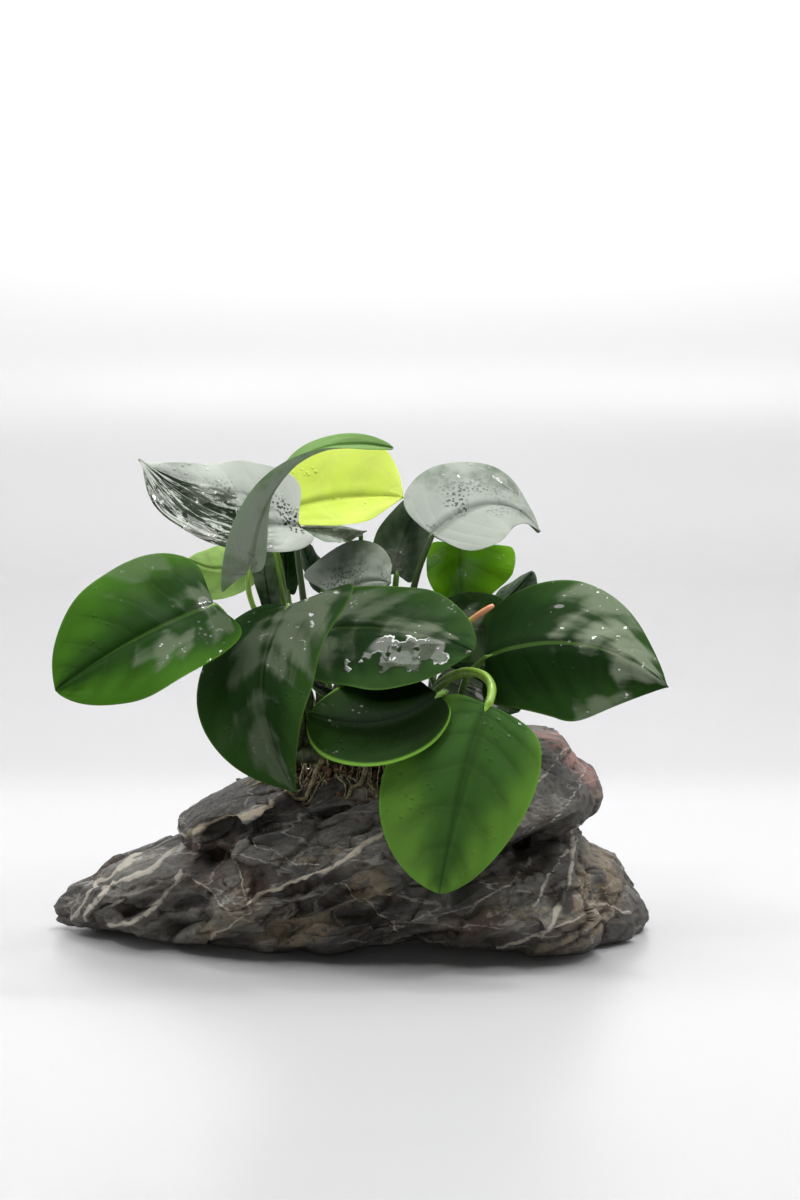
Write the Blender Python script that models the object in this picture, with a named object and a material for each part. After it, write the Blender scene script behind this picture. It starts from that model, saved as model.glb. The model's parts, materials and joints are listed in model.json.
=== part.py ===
"""An anubias plant grown on a grey ledge stone, resting on the stone's flat underside.

The stone is one faceted solid. A creeping rhizome lies along its top and is held by five roots.
Twenty-two leaves stand on the rhizome, each as a stalk and a blade, with one cut stalk between them.
Lengths are millimetres in the tables and metres in the meshes. X runs along the stone, Y away
from the front, Z up, and the origin is on the resting face.
"""
import math
from dataclasses import dataclass

import bpy
import numpy as np

MM = 0.001

# Driving sizes of the stone
STONE_LENGTH = 182.0
STONE_MIDDLE = (-3.0, 25.0)
STONE_FRONT = 50.0
STONE_BACK = 40.0
STONE_ROUNDNESS = 2.6
LEDGE_PITCH = 11.0
LEDGE_DEPTH = 2.0
LEDGE_SLOPE = math.radians(23)
LEDGE_SHARE = 0.7
LEDGE_LEAN = 0.25
# Slow waves that bend the ledges: height, then turns along x and y in radians a millimetre, start
LEDGE_WAVES = ((1.6, 0.07, 0.0, 0.9), (1.1, 0.13, -0.05, 2.0))
BACK_LEDGE_SHIFT = 17.0
# Broken faces: how many times their heights count and how many times distances across the ledges
# do, how sharply two faces meet, and how deep their middles lie as a share of the stone. The waves
# of their edges are a height, then turns along x and z in radians a millimetre. RIM_CUT is how much
# deeper than its faces the rim is cut, and RIM_START the angle of the outline's lower right.
FACE_HEIGHT = 1.0
FACE_STRETCH = 1.7
FACE_BLEND = 0.06
FACE_SIDE = 0.85
FACE_WAVES = ((1.3, 0.23, 0.11), (1.1, 0.17, 0.31))
RIM_CUT = 1.5
RIM_START = math.radians(-16)

# The stone's outline from the front as x, z pairs, clockwise from its left end, for OUTLINE_LENGTH
OUTLINE_LENGTH = 182.0
STONE_OUTLINE = (
    (-94, 7), (-88, 14), (-82, 16), (-76, 21), (-64, 25), (-54, 29), (-55, 35), (-44, 42), (-33, 47),
    (-18, 46), (7, 47), (30, 51), (42, 57), (51, 62), (60, 61), (66, 53), (71, 49), (73, 44), (72, 40),
    (65, 35), (63, 33), (67, 30), (70, 26), (77, 23), (81, 16), (85, 11), (88, 5), (86, 0), (76, -3),
    (58, -4), (40, -3), (20, -2), (0, -3), (-20, -3), (-40, -3), (-56, -2), (-70, 0), (-84, 1), (-92, 3),
)
# How deep the front and the back stand out along x, as shares of STONE_FRONT and STONE_BACK
DEPTH_ALONG = ((-94, 0.2), (-84, 0.42), (-66, 0.66), (-40, 0.84), (-10, 0.98), (20, 0.9), (45, 0.96),
               (66, 1.0), (80, 0.74), (90, 0.4))
# Dents and swellings of the front face: x, z, width along the ledges, height across them, depth
FRONT_RELIEF = (
    (-18, 37, 24, 5.0, 9.0), (-8, 33, 20, 6.0, -4.0), (-30, 30, 16, 5.0, -3.0),
    (52, 31, 13, 4.5, 10.0), (66, 46, 10, 8.0, -4.0), (60, 14, 16, 8.0, -3.0),
    (-6, 19, 22, 3.0, -4.0), (-4, 14, 24, 3.0, 4.0), (-30, 8, 22, 4.0, 5.0), (-60, 10, 16, 3.0, -3.0),
    (10, 4, 12, 5.0, 6.0), (30, 10, 16, 6.0, -2.0),
)
# Flat broken faces: x of the middle, side (-1 front, 0 top, 1 back), z, how far it stands out, then
# its slopes along and across the ledges. A face slopes back upwards where the last is negative.
FACES = (
    (-86, -1, 12, 0.5, 0.0, -0.2), (-77, -1, 19, 1.2, 0.1, -0.35), (-66, -1, 23, 0.4, 0.0, -0.3),
    (-64, -1, 13, -1.2, 0.0, 0.15), (-74, -1, 5, 0.6, 0.1, 0.1), (-56, -1, 29, -0.6, 0.1, -0.25),
    (-47, -1, 43, 3.0, 0.1, 0.05), (-33, -1, 49, 2.0, 0.1, -0.3), (-45, -1, 33, -4.2, 0.0, 0.3),
    (-52, -1, 15, -3.2, 0.1, 0.3), (-24, -1, 36, 3.2, 0.06, -0.1), (-20, -1, 44, -3.0, 0.1, 0.15),
    (-8, -1, 49, -4.2, 0.1, 0.15), (-38, -1, 22, 0.2, 0.1, -0.4), (-19, -1, 28, -1.6, 0.1, 0.4),
    (-12, -1, 23, 2.0, 0.05, -0.45), (2, -1, 41, 1.6, 0.1, -0.4), (4, -1, 28, 0.8, -0.12, -0.2),
    (-4, -1, 20, -2.6, 0.0, 0.25), (-34, -1, 11, 0.8, 0.0, 0.15), (-42, -1, 4, 1.0, 0.1, 0.2),
    (-8, -1, 9, 1.4, 0.05, 0.1), (17, -1, 19, 0.6, 0.12, -0.2), (24, -1, 42, 1.0, 0.0, -0.25),
    (22, -1, 32, -1.0, 0.1, 0.2), (18, -1, 7, -0.8, 0.0, 0.25), (42, -1, 53, 1.5, 0.1, -0.1),
    (57, -1, 50, 2.6, -0.05, -0.05), (61, -1, 60, 1.2, -0.15, -0.35), (51, -1, 35, -4.0, 0.0, 0.35),
    (39, -1, 25, 0.6, 0.1, -0.45), (54, -1, 23, 1.8, 0.1, -0.35), (40, -1, 9, 0.4, 0.05, 0.2),
    (65, -1, 20, 2.6, -0.2, 0.0), (75, -1, 24, -1.2, 0.1, 0.1), (84, -1, 13, 0.6, 0.2, -0.25),
    (64, -1, 7, 1.2, 0.0, 0.1), (-22, -1, 16, -1.0, 0.05, 0.3), (68, -1, 33, 1.0, 0.1, -0.2),
    (-88, 0, 12, -0.6, 0.0, 0.0), (-76, -0.3, 20, 0.8, 0.1, 0.0), (-66, 0.3, 23, -1.2, 0.0, 0.0),
    (-52, -0.1, 36, 0.6, 0.0, 0.0), (-40, 0.3, 44, -2.4, 0.1, 0.0), (-34, -0.4, 46, 0.8, 0.0, 0.0),
    (-20, 0.1, 47, -0.6, 0.1, 0.0), (-8, -0.5, 47, -2.2, 0.0, 0.0), (-2, 0.4, 48, 1.0, -0.1, 0.0),
    (12, -0.1, 49, -1.4, 0.1, 0.0), (18, 0.5, 50, -3.0, 0.1, 0.0), (26, -0.5, 50, 1.2, 0.0, 0.0),
    (36, 0.1, 55, -1.0, 0.1, 0.0), (48, -0.4, 60, 0.6, 0.0, 0.0), (50, 0.4, 62, -2.6, 0.1, 0.0),
    (62, 0, 60, 0.4, 0.0, 0.0), (70, 0.4, 50, -1.8, 0.0, 0.0), (73, -0.3, 44, 0.6, 0.0, 0.0),
    (70, 0.3, 28, -1.6, 0.0, 0.0), (78, -0.3, 22, 0.6, 0.0, 0.0), (87, 0.1, 8, -0.8, 0.0, 0.0),
    (-80, 1, 12, 0.8, 0.1, -0.3), (-66, 1, 22, -0.8, 0.0, 0.2), (-58, 1, 8, 1.8, -0.1, 0.2),
    (-50, 1, 32, 2.0, 0.1, -0.3), (-40, 1, 18, -3.0, 0.1, 0.3), (-32, 1, 44, -1.5, 0.1, -0.2),
    (-28, 1, 30, 2.6, 0.05, -0.3), (-22, 1, 8, 1.2, 0.1, 0.2), (-8, 1, 20, -2.6, 0.0, 0.3),
    (-4, 1, 38, 1.8, 0.1, -0.35), (8, 1, 28, 2.8, -0.1, -0.2), (14, 1, 10, -1.0, 0.1, 0.3),
    (24, 1, 44, -2.2, 0.1, 0.2), (32, 1, 24, 1.6, 0.1, -0.4), (40, 1, 38, 2.4, 0.0, -0.2),
    (44, 1, 8, -2.0, 0.1, 0.2), (52, 1, 56, 1.5, 0.1, -0.3), (56, 1, 26, -3.0, 0.0, 0.3),
    (62, 1, 44, 1.0, 0.1, 0.1), (68, 1, 12, 2.0, -0.1, -0.2), (80, 1, 8, 0.4, 0.1, -0.2),
)

# Driving sizes of the plant
RHIZOME_PATH = ((-28, 3, 53), (-14, -2, 54.5), (2, -4, 55.5), (18, -3, 57.5), (34, 1, 62))
RHIZOME_RADIUS = 4.2
RHIZOME_RINGS = 15
RHIZOME_SIDES = 9
RING_DEPTH = 0.05
STALK_RADIUS = 1.15
BLADE_THICKNESS = 1.1
WIDEST = 0.45
GAP = 0.35
SKIN = 0.45
STALK_TAPER = (1.1, 0.8)
ROOT_RADIUS = 0.8
ROOT_TAPER = (1.0, 0.55)
ROOT_LIFT = 0.8
ROOT_DIRECTION = (0.9, -0.43)
ROOT_LANDING = 0.45
ROOT_STEPS = 8

# How finely the faceted solids are cut
STONE_COLUMNS = 42
STONE_ROWS = 20
BLADE_ROWS = 9
BLADE_STRIPS = 3
STALK_SIDES = 5
STALK_STEPS = 7


@dataclass
class Leaf:
    """One leaf: five points of its blade, and how its stalk leaves the rhizome and meets the blade.

    base, middle and tip lie on the midrib, left and right are the widest points of the two sides,
    as seen by someone who looks at the upper face and goes from base to tip. root is a place on the
    rhizome, as a share of its length and degrees from straight up towards the back. arrive mixes
    the stalk's last direction: 0 along the midrib, 1 up through the blade. lobes gives how far the
    left and right lobes reach behind the base, as a share of the blade's length. curl bends the
    left and right sides towards the upper face, in degrees. twist turns the blade about its midrib
    from base to tip. point is the sharpness of the tip and shoulder that of the base. reach is how
    far the stalk keeps its first and its last direction, and stalk its thickness as a share of
    STALK_RADIUS.
    """
    base: tuple
    middle: tuple
    tip: tuple
    left: tuple
    right: tuple
    root: tuple
    arrive: float = 0.5
    lobes: tuple = (0.12, 0.12)
    curl: tuple = (0, 0)
    twist: float = 0.0
    point: float = 1.2
    shoulder: float = 0.72
    reach: tuple = (14, 12)
    stalk: float = 1.0
    colour: str = "leaf_green"


LEAVES = {
    "left": Leaf(
        base=(-41, -39, 105), middle=(-62, -49, 97), tip=(-85, -52, 82.5), left=(-52, -58, 85),
        right=(-70, -37, 115.5), reach=(24, 12), lobes=(0.14, 0.1), root=(0.04, -14), arrive=0.6,
        point=1.3),
    "front_left": Leaf(
        base=(-20, -33, 104), middle=(-27, -51, 82), tip=(-17, -60, 55), left=(-13, -53, 97),
        right=(-46, -42, 81), point=2.0, lobes=(0.3, -0.02), shoulder=0.6, root=(0.07, -46),
        arrive=0.7, curl=(-50, 0), colour="leaf_dark"),
    "middle": Leaf(
        base=(-12, -14, 94), middle=(11, -27, 96), tip=(33, -42, 92), left=(12, -9, 107),
        right=(0, -41, 81), point=1.35, root=(0.38, -34), arrive=0.6, colour="leaf_dark"),
    "small_middle": Leaf(
        base=(-7, 2, 101), middle=(1, 2, 106), tip=(9, -6, 107), left=(-5, 12, 117),
        right=(0, -2.5, 97), root=(0.4, 24), arrive=0.7),
    "right": Leaf(
        base=(37, -22, 87), middle=(64, -34, 93), tip=(89, -38, 81), left=(60, -10, 109),
        right=(61, -40, 71.5), reach=(20, 12), shoulder=0.6, root=(0.93, -36), arrive=0.3,
        point=2.2, colour="leaf_dark"),
    "hanging": Leaf(
        base=(37, -44, 77), middle=(30, -56, 58), tip=(23, -64, 27), left=(51, -54, 57),
        right=(7, -51, 58), root=(0.74, -38), arrive=0.0, lobes=(0.02, 0.08), reach=(34, 20),
        stalk=1.4, colour="leaf_bright"),
    "cupped": Leaf(
        base=(23, -45, 80), middle=(7, -49, 73), tip=(-14, -47, 75), left=(6, -54, 57.5),
        right=(5, -28, 86.5), lobes=(0.02, 0.06), shoulder=0.55, root=(0.56, -66), arrive=0.3,
        curl=(35, 0), colour="leaf_dark"),
    "top_left": Leaf(
        base=(-18, -8, 124), middle=(-42, -17, 129.5), tip=(-64, -18, 145), left=(-45, -28, 122),
        right=(-30, -5, 142), point=2.4, root=(0.3, -4), arrive=0.9, reach=(20, 14)),
    "arching": Leaf(
        base=(-31.5, -30, 113), middle=(-18.5, -34, 144), tip=(10, -30, 149),
        left=(-34.5, -40.5, 133), right=(-33, -26, 131.5), twist=110, lobes=(0.14, 0.02),
        shoulder=0.7, point=1.0, root=(0.25, -22), arrive=0.1, reach=(20, 16), stalk=0.9,
        colour="leaf_bright"),
    "yellow": Leaf(
        base=(-22, 12, 126.7), middle=(-5, 13, 130.2), tip=(13, 7, 131.2), left=(-5, 22, 148.5),
        right=(-3, 3, 123.3), root=(0.22, 30), arrive=0.3, reach=(24, 14), point=1.9, stalk=0.9,
        colour="leaf_yellow"),
    "top_right": Leaf(
        base=(21.5, -8, 121.5), middle=(39.5, 1, 129.5), tip=(54, 4, 121), left=(26, 12, 142),
        right=(38, -18, 121), point=2.2, shoulder=0.8, root=(0.64, 36), arrive=0.5, reach=(22, 18),
        lobes=(0.0, 0.0)),
    "back_left": Leaf(
        base=(-31, 18, 115), middle=(-42, 20, 108), tip=(-53, 20, 111), left=(-41, 16, 99),
        right=(-42, 26, 115), root=(0.1, 50), arrive=0.2, reach=(18, 14), colour="leaf_bright"),
    "back_right": Leaf(
        base=(30, 14, 117), middle=(30, 8, 106), tip=(31, 8, 96), left=(47, 16, 114),
        right=(20, 14, 109), root=(0.79, 48), arrive=0.1, reach=(24, 14), colour="leaf_bright"),
    "back_middle": Leaf(
        base=(11, 6, 108), middle=(14, 10, 121), tip=(21, 14, 133), left=(3, 8, 116),
        right=(20, 16, 115), root=(0.56, 40), arrive=0.1, reach=(20, 12)),
    "back_tip": Leaf(
        base=(37, 24, 91), middle=(45, 22, 98), tip=(53, 20, 107), left=(42, 28, 99),
        right=(50, 18, 93), root=(0.94, 46), arrive=0.2, colour="leaf_dark"),
    "behind_right": Leaf(
        base=(22, -2, 90), middle=(34, -4, 93), tip=(46, -7, 91), left=(35, 4, 103),
        right=(33, -11, 84), root=(0.7, 8), arrive=0.5, colour="leaf_dark"),
    "low_right": Leaf(
        base=(26, 6, 80), middle=(37, 4, 75), tip=(48, 0, 67), left=(43, 10, 79),
        right=(30, -4, 70), root=(0.86, 6), arrive=0.2, colour="leaf_dark"),
    "under_yellow": Leaf(
        base=(0, 14, 119.5), middle=(-9, 13, 120.5), tip=(-18, 8, 121.5), left=(-9, -2, 118.5),
        right=(-10, 26, 120.5), root=(0.46, 50), arrive=0.9, reach=(20, 12), stalk=0.8),
    "dark_back": Leaf(
        base=(-23, 28, 100), middle=(-23, 27, 110), tip=(-24, 24, 119), left=(-28, 30, 112),
        right=(-18, 26, 112), root=(0.28, 66), arrive=0.1, colour="leaf_dark"),
    "pale_back": Leaf(
        base=(-12, 24, 101), middle=(-15, 24, 108), tip=(-18, 22, 116), left=(-18, 26, 107),
        right=(-12, 22, 110), root=(0.38, 62), arrive=0.1, stalk=0.8),
    "speckled": Leaf(
        base=(-26.5, 8, 96), middle=(-28.5, 10, 106), tip=(-30, 14, 116), left=(-33, 12, 107),
        right=(-25, 8, 108), root=(0.15, 12), arrive=0.1, stalk=0.8),
    "furled": Leaf(
        base=(11, -19, 78), middle=(-2, -25, 76), tip=(-15, -30, 82), left=(0, -32, 71),
        right=(-3, -18, 77), root=(0.48, -40), arrive=0.4, curl=(50, 0), stalk=0.9,
        colour="leaf_dark"),
}

# The cut stalk: its place on the rhizome and the middle of its cut end
STUB_ROOT = (0.64, -30)
STUB_BEND = (20, -14, 90)
STUB_END = (39, -26, 103)

# Roots: where each leaves the rhizome, as a share of its length, and the x, y it runs to on the stone
ROOTS = ((0.08, -32, -16), (0.3, -22, -22), (0.5, -4, -24), (0.66, 12, -22), (0.9, 46, 14))

COLOURS = {
    "leaf_green": (0.045, 0.115, 0.022), "leaf_dark": (0.018, 0.05, 0.013),
    "leaf_bright": (0.11, 0.28, 0.035), "leaf_yellow": (0.46, 0.62, 0.06),
    "stalk": (0.16, 0.3, 0.04), "rhizome": (0.07, 0.09, 0.03), "root": (0.42, 0.36, 0.22),
    "cut_stalk": (0.4, 0.5, 0.09), "stone": (0.075, 0.072, 0.067),
}


def unit(vectors):
    """Vectors scaled to length one, along the last axis."""
    vectors = np.asarray(vectors, dtype=float)
    return vectors / np.maximum(np.linalg.norm(vectors, axis=-1, keepdims=True), 1e-9)


def clear_scene():
    for old in list(bpy.data.objects):
        bpy.data.objects.remove(old, do_unlink=True)


def finish_material(name, roughness=0.4):
    """The plain finish of one kind of piece."""
    material = bpy.data.materials.get(name)
    if material is None:
        material = bpy.data.materials.new(name)
        material.use_nodes = True
        shader = material.node_tree.nodes["Principled BSDF"]
        shader.inputs["Base Color"].default_value = (*COLOURS[name], 1.0)
        shader.inputs["Roughness"].default_value = roughness
        shader.inputs["Metallic"].default_value = 0.0
    return material


def add_piece(name, points, faces, material, roughness=0.4):
    """A mesh object from points in millimetres."""
    mesh = bpy.data.meshes.new(name)
    mesh.from_pydata((np.asarray(points, dtype=float) * MM).tolist(), [], faces)
    mesh.validate()
    mesh.materials.append(finish_material(material, roughness))
    mesh.shade_smooth()
    piece = bpy.data.objects.new(name, mesh)
    bpy.context.scene.collection.objects.link(piece)
    return piece


def stone_corners():
    """The outline's points from the stone's middle, and their angles."""
    offset = np.array(STONE_OUTLINE, dtype=float) * STONE_LENGTH / OUTLINE_LENGTH - np.array(STONE_MIDDLE)
    return offset, np.arctan2(offset[:, 1], offset[:, 0])


def stone_outline_radius(angle):
    """Distance from the stone's middle to its outline at an angle, straight between outline points."""
    offset, angles = stone_corners()
    order = np.argsort(angles)
    radii = np.hypot(offset[:, 0], offset[:, 1])
    return np.interp(angle, angles[order], radii[order], period=2 * math.pi)


def ledges(x, y, z):
    """How far layers of the stone stand out: a slow rise and a quick drop, repeated along a tilted axis.

    The layers dip towards the left by LEDGE_SLOPE and lean back a little, and slow waves bend them.
    """
    across = z * math.cos(LEDGE_SLOPE) - x * math.sin(LEDGE_SLOPE) + LEDGE_LEAN * y
    for height, turn_x, turn_y, start in LEDGE_WAVES:
        across = across + height * np.sin(turn_x * x + turn_y * y + start)
    turns = across / LEDGE_PITCH
    part = turns - np.floor(turns)
    rise = np.where(part < LEDGE_SHARE, part / LEDGE_SHARE, (1 - part) / (1 - LEDGE_SHARE))
    strength = 0.65 + 0.35 * np.sin(1.7 * np.floor(turns + (1 - LEDGE_SHARE)) + 0.045 * x)
    return LEDGE_DEPTH * strength * (rise - 0.5)


def front_relief(x, z):
    """Dents (positive) and swellings (negative) of the front face, each a tilted bell shape."""
    total = np.zeros_like(x)
    for middle_x, middle_z, width, height, depth in FRONT_RELIEF:
        along = (x - middle_x) * math.cos(LEDGE_SLOPE) + (z - middle_z) * math.sin(LEDGE_SLOPE)
        across = (z - middle_z) * math.cos(LEDGE_SLOPE) - (x - middle_x) * math.sin(LEDGE_SLOPE)
        total += depth * np.exp(-(along / width) ** 2 - (across / height) ** 2)
    return total


def broken(x, y, z):
    """How far flat broken faces stand out: a place lies on the face whose middle is nearest.

    A face is its own height plus its slopes times the distances along and across the ledges. Across
    them distances count FACE_STRETCH times, and each face's weight falls with its squared distance,
    so two faces meet in a narrow blend. Slow waves bend the edges.
    """
    middle_x, side, middle_z, height, rise_along, rise_across = np.array(FACES, dtype=float).T
    along_x, depth_share = np.array(DEPTH_ALONG, dtype=float).T
    size = np.where(side < 0, STONE_FRONT, STONE_BACK) * np.interp(middle_x, along_x, depth_share)
    (wide, turn_x, turn_z), (high, twist_x, twist_z) = FACE_WAVES
    off_x = (x + wide * np.sin(turn_x * x + turn_z * z))[..., None] - middle_x
    off_y = y[..., None] - FACE_SIDE * side * size
    off_z = (z + high * np.sin(twist_x * x - twist_z * z))[..., None] - middle_z
    along = off_x * math.cos(LEDGE_SLOPE) + off_z * math.sin(LEDGE_SLOPE)
    across = off_z * math.cos(LEDGE_SLOPE) - off_x * math.sin(LEDGE_SLOPE)
    gap = along ** 2 + off_y ** 2 + (FACE_STRETCH * across) ** 2
    weight = np.exp(FACE_BLEND * (gap.min(axis=-1, keepdims=True) - gap))
    standing = FACE_HEIGHT * (height + rise_along * along + rise_across * across)
    return (weight * standing).sum(-1) / weight.sum(-1)


def stone_point(angle, share, front):
    """A point of the stone: share runs from 0 in the middle of a face to 1 at the outline.

    Seen from the front the point lies at that share of the outline's radius. Its depth follows a
    superellipse, so a face is fullest in the middle and turns in at the outline. Ledges, broken
    faces and relief are added. Beside the outline, where the surface turns in, the faces cut into
    its radius. What would lie below the resting face is laid flat on it.
    """
    radius = stone_outline_radius(angle) * share
    x = STONE_MIDDLE[0] + radius * np.cos(angle)
    z = STONE_MIDDLE[1] + radius * np.sin(angle)
    along_x, depth_share = np.array(DEPTH_ALONG, dtype=float).T
    swell = np.maximum(1 - share ** STONE_ROUNDNESS, 0) ** (1 / STONE_ROUNDNESS)
    depth = np.interp(x, along_x, depth_share) * swell
    edge = np.clip((1 - share) * 6, 0, 1)
    y = -STONE_FRONT * depth if front else STONE_BACK * depth
    out = broken(x, y, z)
    rim = np.clip((1 - share) * 25, 0, 1) * share ** 3 * np.minimum(out - RIM_CUT, 0)
    if front:
        y = y - edge * (out + ledges(x, y, z) - front_relief(x, z))
    else:
        y = y + edge * (out + ledges(x + BACK_LEDGE_SHIFT, y, z))
    z = np.maximum(z + rim * np.sin(angle), 0.0)
    return np.stack([x + rim * np.cos(angle), y, z], axis=-1)


def rim_angles(count):
    """Angles of places spread evenly along the outline from its lower right, moved onto its points."""
    offset, angles = stone_corners()
    angles = (angles - RIM_START) % (2 * math.pi)
    order = np.argsort(angles)
    corners = offset[order]
    step = np.linalg.norm(np.roll(corners, -1, axis=0) - corners, axis=1)
    run = np.concatenate([[0.0], np.cumsum(step)])
    angles = np.concatenate([angles[order], [angles[order][0] + 2 * math.pi]])
    places = np.arange(count) / count * run[-1]
    last = -1
    for at in run[:-1]:
        last = min(max(last + 1, round(at / run[-1] * count)), count - 1)
        places[last] = at
    return np.interp(np.sort(places), run, angles) + RIM_START


def stone_net(columns, rows):
    """Points and faces of the stone: a front and a back grid that share the outline's places.

    A grid runs from -1 to 1 both ways. A place's share is the sine of a quarter turn times the
    larger of its two numbers, so places crowd at the outline. Its angle is the one that the outline
    has where the square ring through the place would meet it.
    """
    count = 2 * (columns + rows)
    angles = rim_angles(count)
    angles = np.append(angles, angles[0] + 2 * math.pi)
    a, b = np.meshgrid(np.linspace(-1, 1, columns + 1), np.linspace(-1, 1, rows + 1), indexing="ij")
    ring = np.maximum(np.abs(a), np.abs(b))
    a_side, b_side = a / np.maximum(ring, 1e-9), b / np.maximum(ring, 1e-9)
    right = (b_side + 1) / 2 * rows
    top = rows + (1 - a_side) / 2 * columns
    left = rows + columns + (1 - b_side) / 2 * rows
    bottom = 2 * rows + columns + (a_side + 1) / 2 * columns
    turn = np.select([a_side >= 1, b_side >= 1, a_side <= -1], [right, top, left], bottom)
    angle = np.interp(turn, np.arange(count + 1), angles).ravel()
    share = np.sin(ring * math.pi / 2).ravel()
    front = stone_point(angle, share, True)
    inner = np.flatnonzero(ring.ravel() < 1)
    back_number = np.arange(len(front))
    back_number[inner] = len(front) + np.arange(len(inner))
    points = np.concatenate([front, stone_point(angle[inner], share[inner], False)])
    faces = []
    for i in range(columns):
        for j in range(rows):
            corner = i * (rows + 1) + j
            quad = (corner, corner + rows + 1, corner + rows + 2, corner + 1)
            rising = (i < columns / 2) == (j < rows / 2)
            for trio in ((0, 1, 2), (0, 2, 3)) if rising else ((0, 1, 3), (1, 2, 3)):
                faces.append(tuple(quad[k] for k in trio))
                faces.append(tuple(int(back_number[quad[k]]) for k in reversed(trio)))
    return points, faces


def tube_net(path, radii, sides):
    """Points and faces of a closed tube along a path, with a cap at each end.

    Each ring is square to the path. Its first direction is carried along the path with as little
    turning as possible, so the tube doesn't twist.
    """
    path = np.asarray(path, dtype=float)
    tangent = unit(np.gradient(path, axis=0))
    side = unit(np.cross(tangent[0], (0.3, 0.9, 0.2)))
    points = []
    for place, ahead, radius in zip(path, tangent, radii):
        side = unit(side - ahead * np.dot(side, ahead))
        other = np.cross(ahead, side)
        for i in range(sides):
            turn = i / sides * 2 * math.pi
            points.append(place + radius * (math.cos(turn) * side + math.sin(turn) * other))
    faces = [tuple(range(sides - 1, -1, -1))]
    for ring in range(len(path) - 1):
        a, b = ring * sides, (ring + 1) * sides
        for i in range(sides):
            k = (i + 1) % sides
            faces.append((a + i, a + k, b + k))
            faces.append((a + i, b + k, b + i))
    last = (len(path) - 1) * sides
    faces.append(tuple(range(last, last + sides)))
    return points, faces


def bezier(start, first, second, end, steps):
    """Points along a cubic Bezier curve."""
    t = np.linspace(0, 1, steps)[:, None]
    start, first, second, end = (np.asarray(p, dtype=float) for p in (start, first, second, end))
    return (1 - t) ** 3 * start + 3 * (1 - t) ** 2 * t * first + 3 * (1 - t) * t ** 2 * second + t ** 3 * end


def rhizome_centre(share):
    """A point of the rhizome's centre line, in straight stretches between the points of its path."""
    knots = np.array(RHIZOME_PATH, dtype=float)
    place = np.linspace(0, 1, len(knots))
    return np.array([np.interp(share, place, knots[:, i]) for i in range(3)])


def rhizome_place(share, lean):
    """A point just outside the rhizome's skin, and the direction that leads away from it there."""
    away = np.array([0.0, math.sin(math.radians(lean)), math.cos(math.radians(lean))])
    return rhizome_centre(share) + away * (RHIZOME_RADIUS + GAP + SKIN), away


def midrib(leaf, along):
    """Points and directions of the midrib: a parabola through base, middle and tip, and straight
    on behind the base, where along is negative.
    """
    base, middle, tip = (np.array(p, dtype=float) for p in (leaf.base, leaf.middle, leaf.tip))
    bend = 2 * middle - (base + tip) / 2
    s = np.clip(along, 0, 1)[..., None]
    point = (1 - s) ** 2 * base + 2 * s * (1 - s) * bend + s ** 2 * tip
    ahead = 2 * (1 - s) * (bend - base) + 2 * s * (tip - bend)
    point = point + np.minimum(along, 0)[..., None] * 2 * (bend - base)
    return point, unit(ahead)


def carried(vector, before, after):
    """A vector turned as a direction turns from before to after, by the smallest turn."""
    total = before + after
    share = (total @ vector) / (1 + after @ before)
    return vector - total * share[..., None] + 2 * (before @ vector) * after


def blade_point(leaf, run, out, side):
    """A point of the blade's middle surface, its upward direction and its share of full width.

    run goes from 0 at the base to 1 at the tip along the margin, out from 0 on the midrib to 1 on
    the margin, and side is -1 for the left half and 1 for the right. The margin's distance along
    the midrib follows half a cosine wave, pulled back near the base to make the lobe. Its width is
    a power of a sine that is blunt at the base and sharper at the tip, skewed so that it is widest
    beside the leaf's left or right point.
    """
    turn = math.pi * run
    lobe = leaf.lobes[0] if side < 0 else leaf.lobes[1]
    margin = 0.5 - 0.5 * np.cos(turn) - lobe * np.sin(np.clip(turn / 0.42, 0, math.pi))
    vein = (0.5 - 0.5 * np.cos(turn)) ** 1.25
    middle, forward = (value[0] for value in midrib(leaf, np.array([WIDEST])))
    reach = np.array(leaf.left if side < 0 else leaf.right, dtype=float) - middle
    slip = reach @ forward
    reach = reach - slip * forward
    length = np.linalg.norm(np.array(leaf.tip, dtype=float) - np.array(leaf.base, dtype=float))
    widest = np.clip(WIDEST + slip / length, 0.2, 0.8)
    skew = math.log(0.5) / math.log(math.acos(1 - 2 * widest) / math.pi)
    power = leaf.shoulder + (leaf.point - leaf.shoulder) * run
    width = np.sin(math.pi * run ** skew) ** power * out
    along = vein + (margin - vein) * out ** 1.3
    centre, ahead = midrib(leaf, along)
    spread = np.array(leaf.right, dtype=float) - np.array(leaf.left, dtype=float)
    length = np.linalg.norm(reach)
    direction = unit(carried(reach, forward, ahead))
    up = unit(np.cross(unit(carried(spread, forward, ahead)), ahead))
    if leaf.twist:
        angle = math.radians(leaf.twist) * (along - WIDEST)
        turn_cos, turn_sin = np.cos(angle)[..., None], np.sin(angle)[..., None]
        direction, up = (direction * turn_cos + np.cross(ahead, direction) * turn_sin,
                         up * turn_cos + np.cross(ahead, up) * turn_sin)
    bend = math.radians(leaf.curl[0] if side < 0 else leaf.curl[1]) + 1e-6
    flat = length * width * np.sin(bend * width) / (bend * np.maximum(width, 1e-6))
    raised = length * width * (1 - np.cos(bend * width)) / (bend * np.maximum(width, 1e-6))
    return centre + direction * flat[..., None] + up * raised[..., None], up, width


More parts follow.
